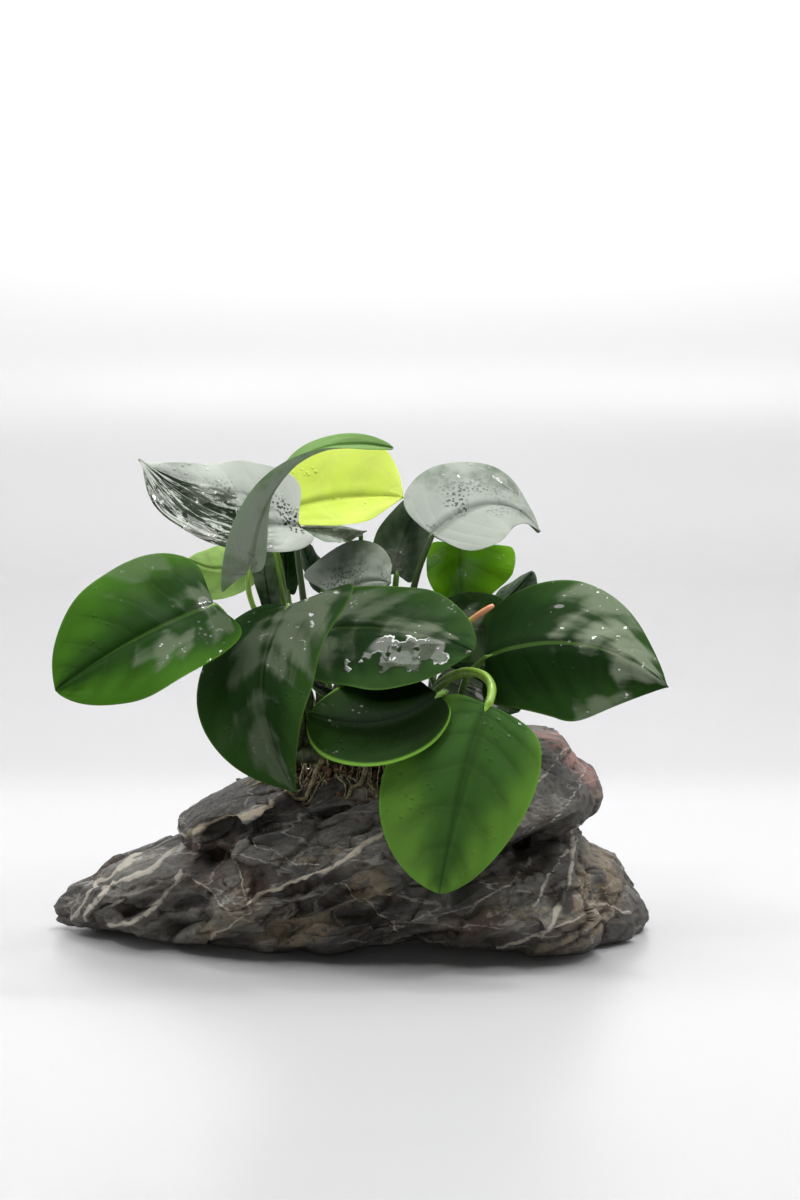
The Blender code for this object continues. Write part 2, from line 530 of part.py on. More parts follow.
def blade_net(leaf, rows, strips):
    """Points and faces of a blade: an upper and a lower skin that meet in one sharp margin."""
    run = np.arange(1, rows) / rows
    grid, upward = [], []
    for column in range(-strips, strips + 1):
        out = np.full(rows - 1, abs(column) / strips)
        point, up, _ = blade_point(leaf, run, out, -1 if column < 0 else 1)
        grid.append(point)
        upward.append(up)
    grid, upward = np.array(grid), np.array(upward)
    out = np.abs(np.arange(-strips, strips + 1)) / strips
    half = BLADE_THICKNESS / 2 * np.sqrt(1 - out ** 2)
    lift = upward * half[:, None, None]
    columns = 2 * strips + 1
    base, tip = np.array(leaf.base, dtype=float), np.array(leaf.tip, dtype=float)
    upper = grid + lift
    lower = (grid - lift)[1:-1]
    points = np.concatenate([upper.reshape(-1, 3), lower.reshape(-1, 3), [base, tip]])
    base_index, tip_index = len(points) - 2, len(points) - 1

    def index(column, row, above):
        if above or column in (0, columns - 1):
            return column * (rows - 1) + row
        return columns * (rows - 1) + (column - 1) * (rows - 1) + row

    faces = []
    for above in (True, False):
        for column in range(columns - 1):
            loops = [(index(column, 0, above), base_index, index(column + 1, 0, above))]
            for row in range(rows - 2):
                a, b = index(column, row, above), index(column + 1, row, above)
                c, d = index(column + 1, row + 1, above), index(column, row + 1, above)
                loops += [(a, b, c), (a, c, d)]
            loops.append((index(column, rows - 2, above), index(column + 1, rows - 2, above), tip_index))
            faces += loops if above else [loop[::-1] for loop in loops]
    return points, faces


def stalk_path(leaf):
    """A stalk's curve: straight off the rhizome, then over to the underside of the blade's base."""
    start, away = rhizome_place(*leaf.root)
    _, ahead = midrib(leaf, np.array([0.0]))
    _, up, _ = blade_point(leaf, np.array([0.2]), np.array([0.0]), 1)
    last = unit(ahead[0] * (1 - leaf.arrive) + up[0] * leaf.arrive)
    end = np.array(leaf.base, dtype=float) - last * (GAP + 2 * SKIN)
    return bezier(start, start + away * leaf.reach[0], end - last * leaf.reach[1], end, STALK_STEPS)


def build_stone():
    points, faces = stone_net(STONE_COLUMNS, STONE_ROWS)
    return add_piece("stone", points, faces, "stone", 0.75)


def build_rhizome():
    """The creeping stem, thinner towards its two ends, with rings where old leaves stood."""
    shares = np.linspace(0, 1, RHIZOME_RINGS)
    path = np.array([rhizome_centre(share) for share in shares])
    taper = np.clip(np.minimum(shares + 0.08, 1.12 - shares) * 5, 0.45, 1.0)
    ring = 1 - RING_DEPTH * (np.arange(RHIZOME_RINGS) % 2)
    points, faces = tube_net(path, RHIZOME_RADIUS * taper * ring, RHIZOME_SIDES)
    return add_piece("rhizome", points, faces, "rhizome", 0.6)


def stone_height(x, y):
    """The stone's upper surface over a point: the highest of the points that share its x and y."""
    angle = np.linspace(0.02, math.pi - 0.02, 240)
    share = np.linspace(0.02, 0.995, 160)
    grid_angle, grid_share = np.meshgrid(angle, share)
    surface = stone_point(grid_angle.ravel(), grid_share.ravel(), y < 0)
    near = np.argsort(np.hypot(surface[:, 0] - x, surface[:, 1] - y))[:6]
    return float(surface[near, 2].max())


def build_roots():
    """Roots that leave the rhizome's underside, touch down and run over the stone's top."""
    pieces = []
    for number, (share, end_x, end_y) in enumerate(ROOTS, 1):
        sideways, down = ROOT_DIRECTION
        away = np.array([0.0, math.copysign(sideways, end_y), down])
        start = rhizome_centre(share) + away * (RHIZOME_RADIUS + GAP + SKIN)
        path = []
        for t in np.linspace(0, 1, ROOT_STEPS):
            x = start[0] + (end_x - start[0]) * t
            y = start[1] + (end_y - start[1]) * t
            ground = stone_height(x, y) + ROOT_LIFT + ROOT_RADIUS
            drop = max(0.0, 1 - t / ROOT_LANDING)
            path.append((x, y, ground + max(start[2] - ground, 0.0) * drop))
        radii = ROOT_RADIUS * np.linspace(*ROOT_TAPER, ROOT_STEPS)
        points, faces = tube_net(path, radii, STALK_SIDES)
        pieces.append(add_piece(f"root_{number}", points, faces, "root", 0.6))
    return pieces


def build_leaf(name, leaf):
    """One leaf's blade and its stalk."""
    points, faces = blade_net(leaf, BLADE_ROWS, BLADE_STRIPS)
    add_piece(f"blade_{name}", points, faces, leaf.colour, 0.28)
    path = stalk_path(leaf)
    radii = STALK_RADIUS * leaf.stalk * np.linspace(*STALK_TAPER, len(path))
    points, faces = tube_net(path, radii, STALK_SIDES)
    add_piece(f"stalk_{name}", points, faces, "stalk", 0.35)


def build_cut_stalk():
    """The stalk of a leaf that was cut off."""
    start, away = rhizome_place(*STUB_ROOT)
    path = bezier(start, start + away * 10, STUB_BEND, STUB_END, STALK_STEPS)
    points, faces = tube_net(path, np.full(len(path), STALK_RADIUS * 0.9), STALK_SIDES)
    return add_piece("cut_stalk", points, faces, "cut_stalk", 0.4)


def main():
    clear_scene()
    build_stone()
    build_rhizome()
    build_roots()
    build_cut_stalk()
    for name, leaf in LEAVES.items():
        build_leaf(name, leaf)


main()
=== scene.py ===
"""Looks for the anubias on its stone: wet leaves, stalks, rhizome, roots, a layered stone and the stage.

Every leaf blade is one surface of two parameters, run from base to tip and out from midrib to
margin, with its groove, puffed fields and wavy margin added along its upward direction. The stone
is a surface round its front and back middles with broken faces, thin layers, dents, cracks and
veins. Lengths in the tables are millimetres in the frame of the solids, colours are linear light.
"""
import itertools
import json
import math
from dataclasses import dataclass

import bpy
import numpy as np
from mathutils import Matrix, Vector
from mathutils.bvhtree import BVHTree


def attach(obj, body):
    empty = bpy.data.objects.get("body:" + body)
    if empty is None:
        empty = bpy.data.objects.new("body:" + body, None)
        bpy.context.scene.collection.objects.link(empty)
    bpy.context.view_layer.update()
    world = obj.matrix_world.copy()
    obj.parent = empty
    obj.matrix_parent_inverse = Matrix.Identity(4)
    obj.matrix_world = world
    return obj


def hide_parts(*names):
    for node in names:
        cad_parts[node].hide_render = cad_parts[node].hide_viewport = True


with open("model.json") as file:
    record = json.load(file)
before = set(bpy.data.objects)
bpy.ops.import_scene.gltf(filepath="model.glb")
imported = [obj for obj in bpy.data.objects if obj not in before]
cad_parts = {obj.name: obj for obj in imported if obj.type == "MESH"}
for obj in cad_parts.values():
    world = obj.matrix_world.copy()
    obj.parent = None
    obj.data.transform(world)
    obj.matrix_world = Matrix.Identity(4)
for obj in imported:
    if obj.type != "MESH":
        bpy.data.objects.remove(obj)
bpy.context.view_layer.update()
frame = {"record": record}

bl_info = {
    "name": "Anubias on stone",
    "version": (1, 0, 0),
    "blender": (4, 5, 0),
    "location": "View3D > Sidebar > Anubias",
    "description": "Builds a wet anubias plant grown on a layered grey stone, and its plain stage",
    "category": "Add Mesh",
}

MM = 0.001

# Sizes repeated from the solids
STONE_MIDDLE = (-3.0, 25.0)
STONE_FRONT = 50.0
STONE_BACK = 40.0
STONE_ROUNDNESS = 2.6
LEDGE_PITCH = 11.0
LEDGE_DEPTH = 2.0
LEDGE_SLOPE = math.radians(23)
LEDGE_SHARE = 0.7
LEDGE_LEAN = 0.25
LEDGE_WAVES = ((1.6, 0.07, 0.0, 0.9), (1.1, 0.13, -0.05, 2.0))
BACK_LEDGE_SHIFT = 17.0
FACE_HEIGHT = 1.2
FACE_STRETCH = 1.7
FACE_BLEND = 0.06
FACE_SIDE = 0.85
FACE_WAVES = ((1.3, 0.23, 0.11), (1.1, 0.17, 0.31))
RIM_CUT = 1.5
STONE_OUTLINE = (
    (-94, 7), (-88, 14), (-82, 16), (-76, 21), (-64, 25), (-54, 29), (-55, 35), (-44, 42), (-33, 47),
    (-18, 46), (7, 47), (30, 51), (42, 57), (51, 62), (60, 61), (66, 53), (71, 49), (73, 44), (72, 40),
    (65, 35), (63, 33), (67, 30), (70, 26), (77, 23), (81, 16), (85, 11), (88, 5), (86, 0), (76, -3),
    (58, -4), (40, -3), (20, -2), (0, -3), (-20, -3), (-40, -3), (-56, -2), (-70, 0), (-84, 1), (-92, 3),
)
DEPTH_ALONG = ((-94, 0.2), (-84, 0.42), (-66, 0.66), (-40, 0.84), (-10, 0.98), (20, 0.9), (45, 0.96),
               (66, 1.0), (80, 0.74), (90, 0.4))
FRONT_RELIEF = (
    (-18, 37, 24, 5.0, 9.0), (-8, 33, 20, 6.0, -4.0), (-30, 30, 16, 5.0, -3.0),
    (52, 31, 13, 4.5, 10.0), (66, 46, 10, 8.0, -4.0), (60, 14, 16, 8.0, -3.0),
    (-6, 19, 22, 3.0, -4.0), (-4, 14, 24, 3.0, 4.0), (-30, 8, 22, 4.0, 5.0), (-60, 10, 16, 3.0, -3.0),
    (10, 4, 12, 5.0, 6.0), (30, 10, 16, 6.0, -2.0), (-43, 36, 6, 3.0, 3.5), (-47, 27, 4, 3.0, 3.0),
    (-52, 15, 9, 3.2, 3.2), (-20, 16, 15, 2.4, 3.4), (3, 10, 8, 2.4, 2.8), (48, 30, 10, 2.8, 3.0),
    (0, 44, 12, 2.4, 2.6), (-10, 27, 14, 1.8, 1.8), (56, 21, 3.5, 8.0, 2.0),
)
# Flat broken faces: x of the middle, side (-1 front, 0 top, 1 back), z, how far it stands out, then
# its slopes along and across the ledges. A face slopes back upwards where the last is negative.
FACES = (
    (-86, -1, 12, 0.5, 0.0, -0.2), (-77, -1, 19, 1.2, 0.1, -0.35), (-66, -1, 23, 0.4, 0.0, -0.3),
    (-64, -1, 13, -1.2, 0.0, 0.15), (-74, -1, 5, 0.6, 0.1, 0.1), (-56, -1, 29, -0.6, 0.1, -0.25),
    (-47, -1, 43, 3.0, 0.1, 0.05), (-33, -1, 49, 2.0, 0.1, -0.3), (-45, -1, 33, -4.2, 0.0, 0.3),
    (-52, -1, 15, -3.2, 0.1, 0.3), (-24, -1, 36, 3.2, 0.06, -0.1), (-20, -1, 44, -3.0, 0.1, 0.15),
    (-8, -1, 49, -4.2, 0.1, 0.15), (-38, -1, 22, 0.2, 0.1, -0.4), (-19, -1, 28, -1.6, 0.1, 0.4),
    (-12, -1, 23, 2.0, 0.05, -0.45), (2, -1, 41, 1.6, 0.1, -0.4), (4, -1, 28, 0.8, -0.12, -0.2),
    (-4, -1, 20, -2.6, 0.0, 0.25), (-34, -1, 11, 0.8, 0.0, 0.15), (-42, -1, 4, 1.0, 0.1, 0.2),
    (-8, -1, 9, 1.4, 0.05, 0.1), (17, -1, 19, 0.6, 0.12, -0.2), (24, -1, 42, 1.0, 0.0, -0.25),
    (22, -1, 32, -1.0, 0.1, 0.2), (18, -1, 7, -0.8, 0.0, 0.25), (42, -1, 53, 1.5, 0.1, -0.1),
    (57, -1, 50, 2.6, -0.05, -0.05), (61, -1, 60, 1.2, -0.15, -0.35), (51, -1, 35, -4.0, 0.0, 0.35),
    (39, -1, 25, 0.6, 0.1, -0.45), (54, -1, 23, 1.8, 0.1, -0.35), (40, -1, 9, 0.4, 0.05, 0.2),
    (65, -1, 20, 2.6, -0.2, 0.0), (75, -1, 24, -1.2, 0.1, 0.1), (84, -1, 13, 0.6, 0.2, -0.25),
    (64, -1, 7, 1.2, 0.0, 0.1), (-22, -1, 16, -1.0, 0.05, 0.3), (68, -1, 33, 1.0, 0.1, -0.2),
    (-88, 0, 12, -0.6, 0.0, 0.0), (-76, -0.3, 20, 0.8, 0.1, 0.0), (-66, 0.3, 23, -1.2, 0.0, 0.0),
    (-52, -0.1, 36, 0.6, 0.0, 0.0), (-40, 0.3, 44, -2.4, 0.1, 0.0), (-34, -0.4, 46, 0.8, 0.0, 0.0),
    (-20, 0.1, 47, -0.6, 0.1, 0.0), (-8, -0.5, 47, -2.2, 0.0, 0.0), (-2, 0.4, 48, 1.0, -0.1, 0.0),
    (12, -0.1, 49, -1.4, 0.1, 0.0), (18, 0.5, 50, -3.0, 0.1, 0.0), (26, -0.5, 50, 1.2, 0.0, 0.0),
    (36, 0.1, 55, -1.0, 0.1, 0.0), (48, -0.4, 60, 0.6, 0.0, 0.0), (50, 0.4, 62, -2.6, 0.1, 0.0),
    (62, 0, 60, 0.4, 0.0, 0.0), (70, 0.4, 50, -1.8, 0.0, 0.0), (73, -0.3, 44, 0.6, 0.0, 0.0),
    (70, 0.3, 28, -1.6, 0.0, 0.0), (78, -0.3, 22, 0.6, 0.0, 0.0), (87, 0.1, 8, -0.8, 0.0, 0.0),
    (-80, 1, 12, 0.8, 0.1, -0.3), (-66, 1, 22, -0.8, 0.0, 0.2), (-58, 1, 8, 1.8, -0.1, 0.2),
    (-50, 1, 32, 2.0, 0.1, -0.3), (-40, 1, 18, -3.0, 0.1, 0.3), (-32, 1, 44, -1.5, 0.1, -0.2),
    (-28, 1, 30, 2.6, 0.05, -0.3), (-22, 1, 8, 1.2, 0.1, 0.2), (-8, 1, 20, -2.6, 0.0, 0.3),
    (-4, 1, 38, 1.8, 0.1, -0.35), (8, 1, 28, 2.8, -0.1, -0.2), (14, 1, 10, -1.0, 0.1, 0.3),
    (24, 1, 44, -2.2, 0.1, 0.2), (32, 1, 24, 1.6, 0.1, -0.4), (40, 1, 38, 2.4, 0.0, -0.2),
    (44, 1, 8, -2.0, 0.1, 0.2), (52, 1, 56, 1.5, 0.1, -0.3), (56, 1, 26, -3.0, 0.0, 0.3),
    (62, 1, 44, 1.0, 0.1, 0.1), (68, 1, 12, 2.0, -0.1, -0.2), (80, 1, 8, 0.4, 0.1, -0.2),
)
RHIZOME_PATH = ((-28, 3, 53), (-14, -2, 54.5), (2, -4, 55.5), (18, -3, 57.5), (34, 1, 62))
RHIZOME_RADIUS = 4.2
STALK_RADIUS = 1.15
# How far along its midrib a blade is widest, where the leaf's middle point lies
WIDEST = 0.45
# The cut stalk: where it starts along the rhizome and its lean in degrees, its bend, its end
STUB_ROOT = (0.64, -30)
STUB_BEND = (20, -14, 90)
STUB_END = (39, -26, 103)
# Thick roots: where they start along the rhizome, x and y of their ends
ROOTS = ((0.08, -32, -16), (0.3, -22, -22), (0.5, -4, -24), (0.66, 12, -22), (0.9, 46, 14))
ROOT_RADIUS = 0.85

# Finer marks of the stone's front, x and z in millimetres
# Pale veins: width, height above the face, how yellow, points
PALE_VEINS = (
    (1.3, 0.7, 0.3,
     ((-87, 5), (-83, 10), (-81, 14), (-77, 18), (-71, 22), (-66, 25), (-61, 30), (-51, 33))),
    (1.3, 0.7, 0.2,
     ((-82, 6), (-81, 9), (-78, 14), (-74, 18), (-67, 21), (-62, 23), (-57, 26), (-52, 29))),
    (1.9, 0.9, 0.3, ((-75, 5), (-69, 9), (-64, 11), (-61, 13), (-58, 16), (-55, 19), (-52, 24))),
    (2.2, 0.9, 0.8, ((-50, 34), (-43, 38), (-37, 40), (-31, 43), (-24, 45), (-14, 48))),
    (1.6, 1.3, 0.5, ((-32, 19), (-26, 22), (-20, 25), (-14, 28), (-8, 31), (-2, 35), (9, 41))),
    (0.5, 0.3, 0.2, ((-37, 40), (-30, 40), (-23, 41), (-14, 43), (-6, 47), (3, 50))),
    (0.5, 0.3, 0.4, ((-31, 36), (-29, 34), (-23, 33), (-17, 31), (-11, 32))),
    (2.0, 0.8, 0.4, ((64, 38), (64, 34), (63, 28), (59, 22), (56, 15), (54, 12), (48, 8), (40, 4))),
    (0.7, 0.3, 0.2, ((74, 33), (66, 31), (60, 29), (55, 25), (50, 19))),
    (0.5, 0.2, 0.3, ((50, 52), (53, 54), (58, 57), (62, 58))),
    (0.5, 0.2, 0.1, ((50, 38), (55, 42), (61, 47), (67, 51), (71, 52))),
    (0.9, 0.8, 0.5, ((55, 12), (60, 14), (66, 15), (73, 13), (80, 9))),
    (0.5, 0.2, 0.6, ((18, 12), (26, 14), (34, 19), (42, 24), (50, 28))),
    (0.6, 0.2, 0.5, ((-6, 27), (-1, 22), (2, 18), (8, 14), (12, 8))),
    (0.6, 0.3, 0.6, ((-38, 30), (-34, 26), (-33, 22), (-31, 16), (-36, 12), (-42, 8), (-44, 5))),
    (0.6, 0.2, 0.5, ((-50, 24), (-45, 22), (-40, 18), (-36, 14), (-28, 12))),
)
# Dents: x, z, half length along the layers, half width across them, depth
DENTS = (
    (-43, 36, 4, 1.8, 1.4), (-47, 27, 2.6, 2.0, 1.2), (-52, 15, 7, 1.6, 1.0), (-20, 16, 15, 1.2, 1.2),
    (3, 10, 6, 1.4, 1.0), (-39, 33, 2.2, 1.5, 1.8), (48, 30, 9, 1.6, 1.2), (-33, 38, 3.5, 1.2, 1.6),
    (56, 21, 1.6, 6.0, 0.8), (20, 6, 10, 1.6, 1.8), (-62, 20, 7, 1.2, 1.4), (30, 16, 10, 1.4, 1.5),
    (-10, 27, 14, 0.9, 0.8), (66, 9, 10, 1.0, 1.4), (-66, 14, 6, 1.2, 1.4), (0, 44, 12, 1.2, 0.8),
)
# Stains, and places of painted shade, by name: x, z, half length along the layers, half width across
# them. Some places are near-black dirt that also paints the shade of dark recesses, and the shade
# places are painted shade on slab faces.
STAINS_AND_PAINTED_SHADE = {
    "rust": ((-43, 34, 8, 6), (-46, 26, 6, 6), (34, 13, 10, 4), (-30, 24, 4, 6), (10, 22, 3, 3)),
    "tan": ((-17, 10, 15, 5), (66, 17, 8, 6), (3, 25, 7, 6), (63, 8, 17, 4), (-43, 8, 4, 3),
            (71, 22, 6, 7), (-33, 16, 6, 4), (-28, 52, 10, 2)),
    "pink": ((50, 65, 8, 4), (60, 63, 5, 4), (65, 57, 4, 5), (71, 50, 4, 6)),
    "soil_and_painted_shade": ((-16, 46, 14, 3.4), (-24, 42, 12, 2), (-2, 50, 9, 3), (-42, 35, 6, 3), (-46, 26, 5, 2.5),
             (-50, 15, 7, 2), (48, 34, 9, 2.5), (-18, 19, 10, 1.2), (4, 12, 8, 1.5), (60, 20, 3, 4)),
    "shade": ((-42, 43, 14, 4), (-18, 40, 12, 4), (34, 22, 8, 4)),
}
# Fine broken faces in three sizes: pitch, seed, stretch along the layers, steepness
SLABS = (14, 11, 2.2, 0.16)
BLOCKS = (6.5, 51, 2.0, 0.2)
CHIPS = (2.8, 91, 1.8, 0.25)
# Fine layers in two sizes: height, then pitch, seed and share of the drop
LAYERS = ((0.55, (5.2, 3, 0.2)), (0.2, (1.9, 4, 0.3)))
# How far fine relief may push the stone's surface in and out
DEEPEST = 2.2
HIGHEST = 1.4
# Share of the outline at which the innermost ring lies, with a point to close it
INNERMOST = 0.004
# Height in metres from which rays look down for the stone
ABOVE_STONE = 0.09

# How finely the shown surfaces are cut
STONE_ROUND = 800
STONE_FRONT_RINGS = 170
STONE_BACK_RINGS = 84
BLADE_ROWS = 92
BLADE_COLUMNS = 26
STALK_SIDES = 14
STALK_RINGS = 44
CUT_STALK_SIDES = 16
CUT_STALK_RINGS = 48
RHIZOME_SIDES = 36
RHIZOME_RINGS = 160
ROOT_SIDES = 12
ROOT_RINGS = 40
FINE_ROOT_SIDES = 6
FINE_ROOT_RINGS = 16
SHEATH_ROWS = 20
SHEATH_COLUMNS = 5
CRUMB_SIDES = 8

# How many rings old leaves left on the rhizome, how many small pieces are made, how low crumbs lie
LEAF_SCARS = 22
SHEATHS = 44
CRUMBS = 900
LOWEST_CRUMB = 35

# The stage in metres: the paper's near edge, its wall, the radius of the bend between them, its top
# and half its width, and how many points the bend has
PAPER_NEAR = -2.2
PAPER_WALL = 1.1
PAPER_BEND = 0.3
PAPER_TOP = 2.6
PAPER_HALF_WIDTH = 2.4
PAPER_STEPS = 24
# Painted shade and light on the paper: how far back plus how high each band starts and is full, and
# its share of the colour
PAPER_PAINTED_SHADE_AND_LIGHT = ((0.17, 0.26, 0.83), (0.3, 0.5, 0.815), (0.89, 1.11, 0.85), (1.11, 1.4, 1.4))
# Lamps: name, place, what it points at, width, height, watts
LAMPS = (
    ("top_softbox", (0.0, 0.0, 1.1), (0.0, 0.0, 0.08), 1.6, 1.1, 21.0),
    ("glint_lamp_1", (0.12, 0.1, 0.8), (0.0, 0.0, 0.1), 0.12, 0.05, 1.5),
    ("glint_lamp_2", (-0.3, -0.3, 0.75), (0.0, 0.0, 0.1), 0.12, 0.05, 1.0),
    ("glint_lamp_3", (0.35, -0.25, 0.75), (0.0, 0.0, 0.1), 0.12, 0.05, 1.0),
    ("wall_strip", (0.0, 0.9, 0.75), (0.0, 1.1, 0.4), 1.6, 0.1, 9.0),
    ("left_softbox", (-0.85, 0.0, 0.5), (0.0, 0.0, 0.1), 0.5, 0.8, 2.6),
    ("right_softbox", (0.85, 0.0, 0.5), (0.0, 0.0, 0.1), 0.5, 0.8, 2.6),
    ("front_fill", (0.0, -1.4, 0.9), (0.0, 0.0, 0.08), 1.2, 0.6, 0.7),
    ("low_fill", (0.0, -1.2, 0.13), (0.0, 0.0, 0.03), 1.5, 0.25, 2.0),
)
AIR_COLOUR = (0.93, 0.96, 1.0, 1.0)
AIR_STRENGTH = 0.06
# What the camera looks at, x and z, and its lens in millimetres
LOOKED_AT = (0.012, 0.101)
LENS = 80


@dataclass
class Leaf:
    """One leaf: five points of its blade, how its stalk leaves and meets it, and how it looks.

    base, middle and tip lie on the midrib, left and right are the widest points of the two sides,
    and the fields down to stalk are as in the solids. green names its colours in GREENS.
    film_and_painted_reflection is how much of a pale coat lies on it, partly a real coat and partly
    painted reflection, glow how much light comes through, wave the height of its margin's waves in
    millimetres, quilt how far the fields between its veins puff up, and veins how many veins each side
    has. gloss is how much painted sheen and standing water lie on it, speckle how much dark grit lies
    on it, rib how pale its midrib is and rim how bright its margin. torn is how dark the tears in its
    pale coat are, which run from its left margin to past its midrib. sheen holds places of soft
    painted sheen and water_and_painted_reflection places of standing water, painted with a grey
    reflection. Each is how far along from base to tip, how far out from -1 at the left margin to 1,
    and its size, and sheen has its strength last. stem names its stalk's finish.
    """
    base: tuple
    middle: tuple
    tip: tuple
    left: tuple
    right: tuple
    root: tuple
    arrive: float = 0.5
    lobes: tuple = (0.12, 0.12)
    curl: tuple = (0, 0)
    twist: float = 0.0
    point: float = 1.2
    shoulder: float = 0.72
    reach: tuple = (14, 12)
    stalk: float = 1.0
    green: str = "deep"
    film_and_painted_reflection: float = 0.0
    glow: float = 0.12
    wave: float = 0.5
    quilt: float = 0.3
    veins: int = 9
    gloss: float = 0.5
    speckle: float = 0.0
    rib: float = 0.15
    rim: float = 0.25
    torn: float = 0.0
    sheen: tuple = ()
    water_and_painted_reflection: tuple = ()
    stem: str = "green"


# Colours of blades: in shade, in light patches, along the margin, and of light through the leaf
GREENS = {
    # The dark set is painted shade: a leaf's green darkened for blades that lie in the shadow of other
    # leaves, with a bright margin colour that paints light on their rims
    "dark": ((0.003, 0.011, 0.001), (0.01, 0.032, 0.003), (0.1, 0.22, 0.025), (0.03, 0.12, 0.005)),
    "deep": ((0.007, 0.024, 0.004), (0.019, 0.053, 0.009), (0.07, 0.15, 0.025), (0.05, 0.2, 0.01)),
    "mid": ((0.012, 0.04, 0.005), (0.046, 0.135, 0.01), (0.09, 0.2, 0.025), (0.1, 0.36, 0.02)),
    "bright": ((0.036, 0.092, 0.018), (0.1, 0.22, 0.03), (0.15, 0.32, 0.035), (0.24, 0.6, 0.04)),
    "olive": ((0.075, 0.19, 0.006), (0.17, 0.37, 0.014), (0.2, 0.38, 0.03), (0.3, 0.65, 0.02)),
    "grey": ((0.035, 0.06, 0.034), (0.1, 0.135, 0.094), (0.09, 0.18, 0.05), (0.2, 0.42, 0.1)),
    "fresh": ((0.19, 0.3, 0.08), (0.29, 0.42, 0.14), (0.28, 0.46, 0.1), (0.45, 0.72, 0.18)),
    "lime": ((0.56, 0.68, 0.12), (0.66, 0.76, 0.17), (0.62, 0.76, 0.1), (0.85, 0.95, 0.22)),
}

BRIGHT_STALK = (0.24, 0.42, 0.05)

# What lies on the leaves, and painted light: a pale coat that is partly painted reflection, grit,
# tears, painted sheen, the painted grey reflection of standing water and painted glints
FILM_AND_PAINTED_REFLECTION = (0.41, 0.43, 0.39)
GRIT = (0.012, 0.02, 0.01)
TEAR = (0.02, 0.027, 0.016)
SHEEN = (0.24, 0.28, 0.195)
PAINTED_WATER_REFLECTION = (0.15, 0.155, 0.13)
GLINT = (0.8, 0.82, 0.78)

# What lies on and in the stone; the hollow colour and the near-black dirt colour also paint the shade of
# recesses
TAN = (0.2, 0.155, 0.095)
RUST = (0.045, 0.021, 0.01)
PINK = (0.3, 0.145, 0.125)
PALE_VEIN = (0.4, 0.38, 0.34)
YELLOW_VEIN = (0.38, 0.3, 0.18)
HOLLOW_DIRT_AND_PAINTED_SHADE = (0.05, 0.03, 0.016)
SOIL_AND_PAINTED_SHADE = (0.011, 0.008, 0.005)

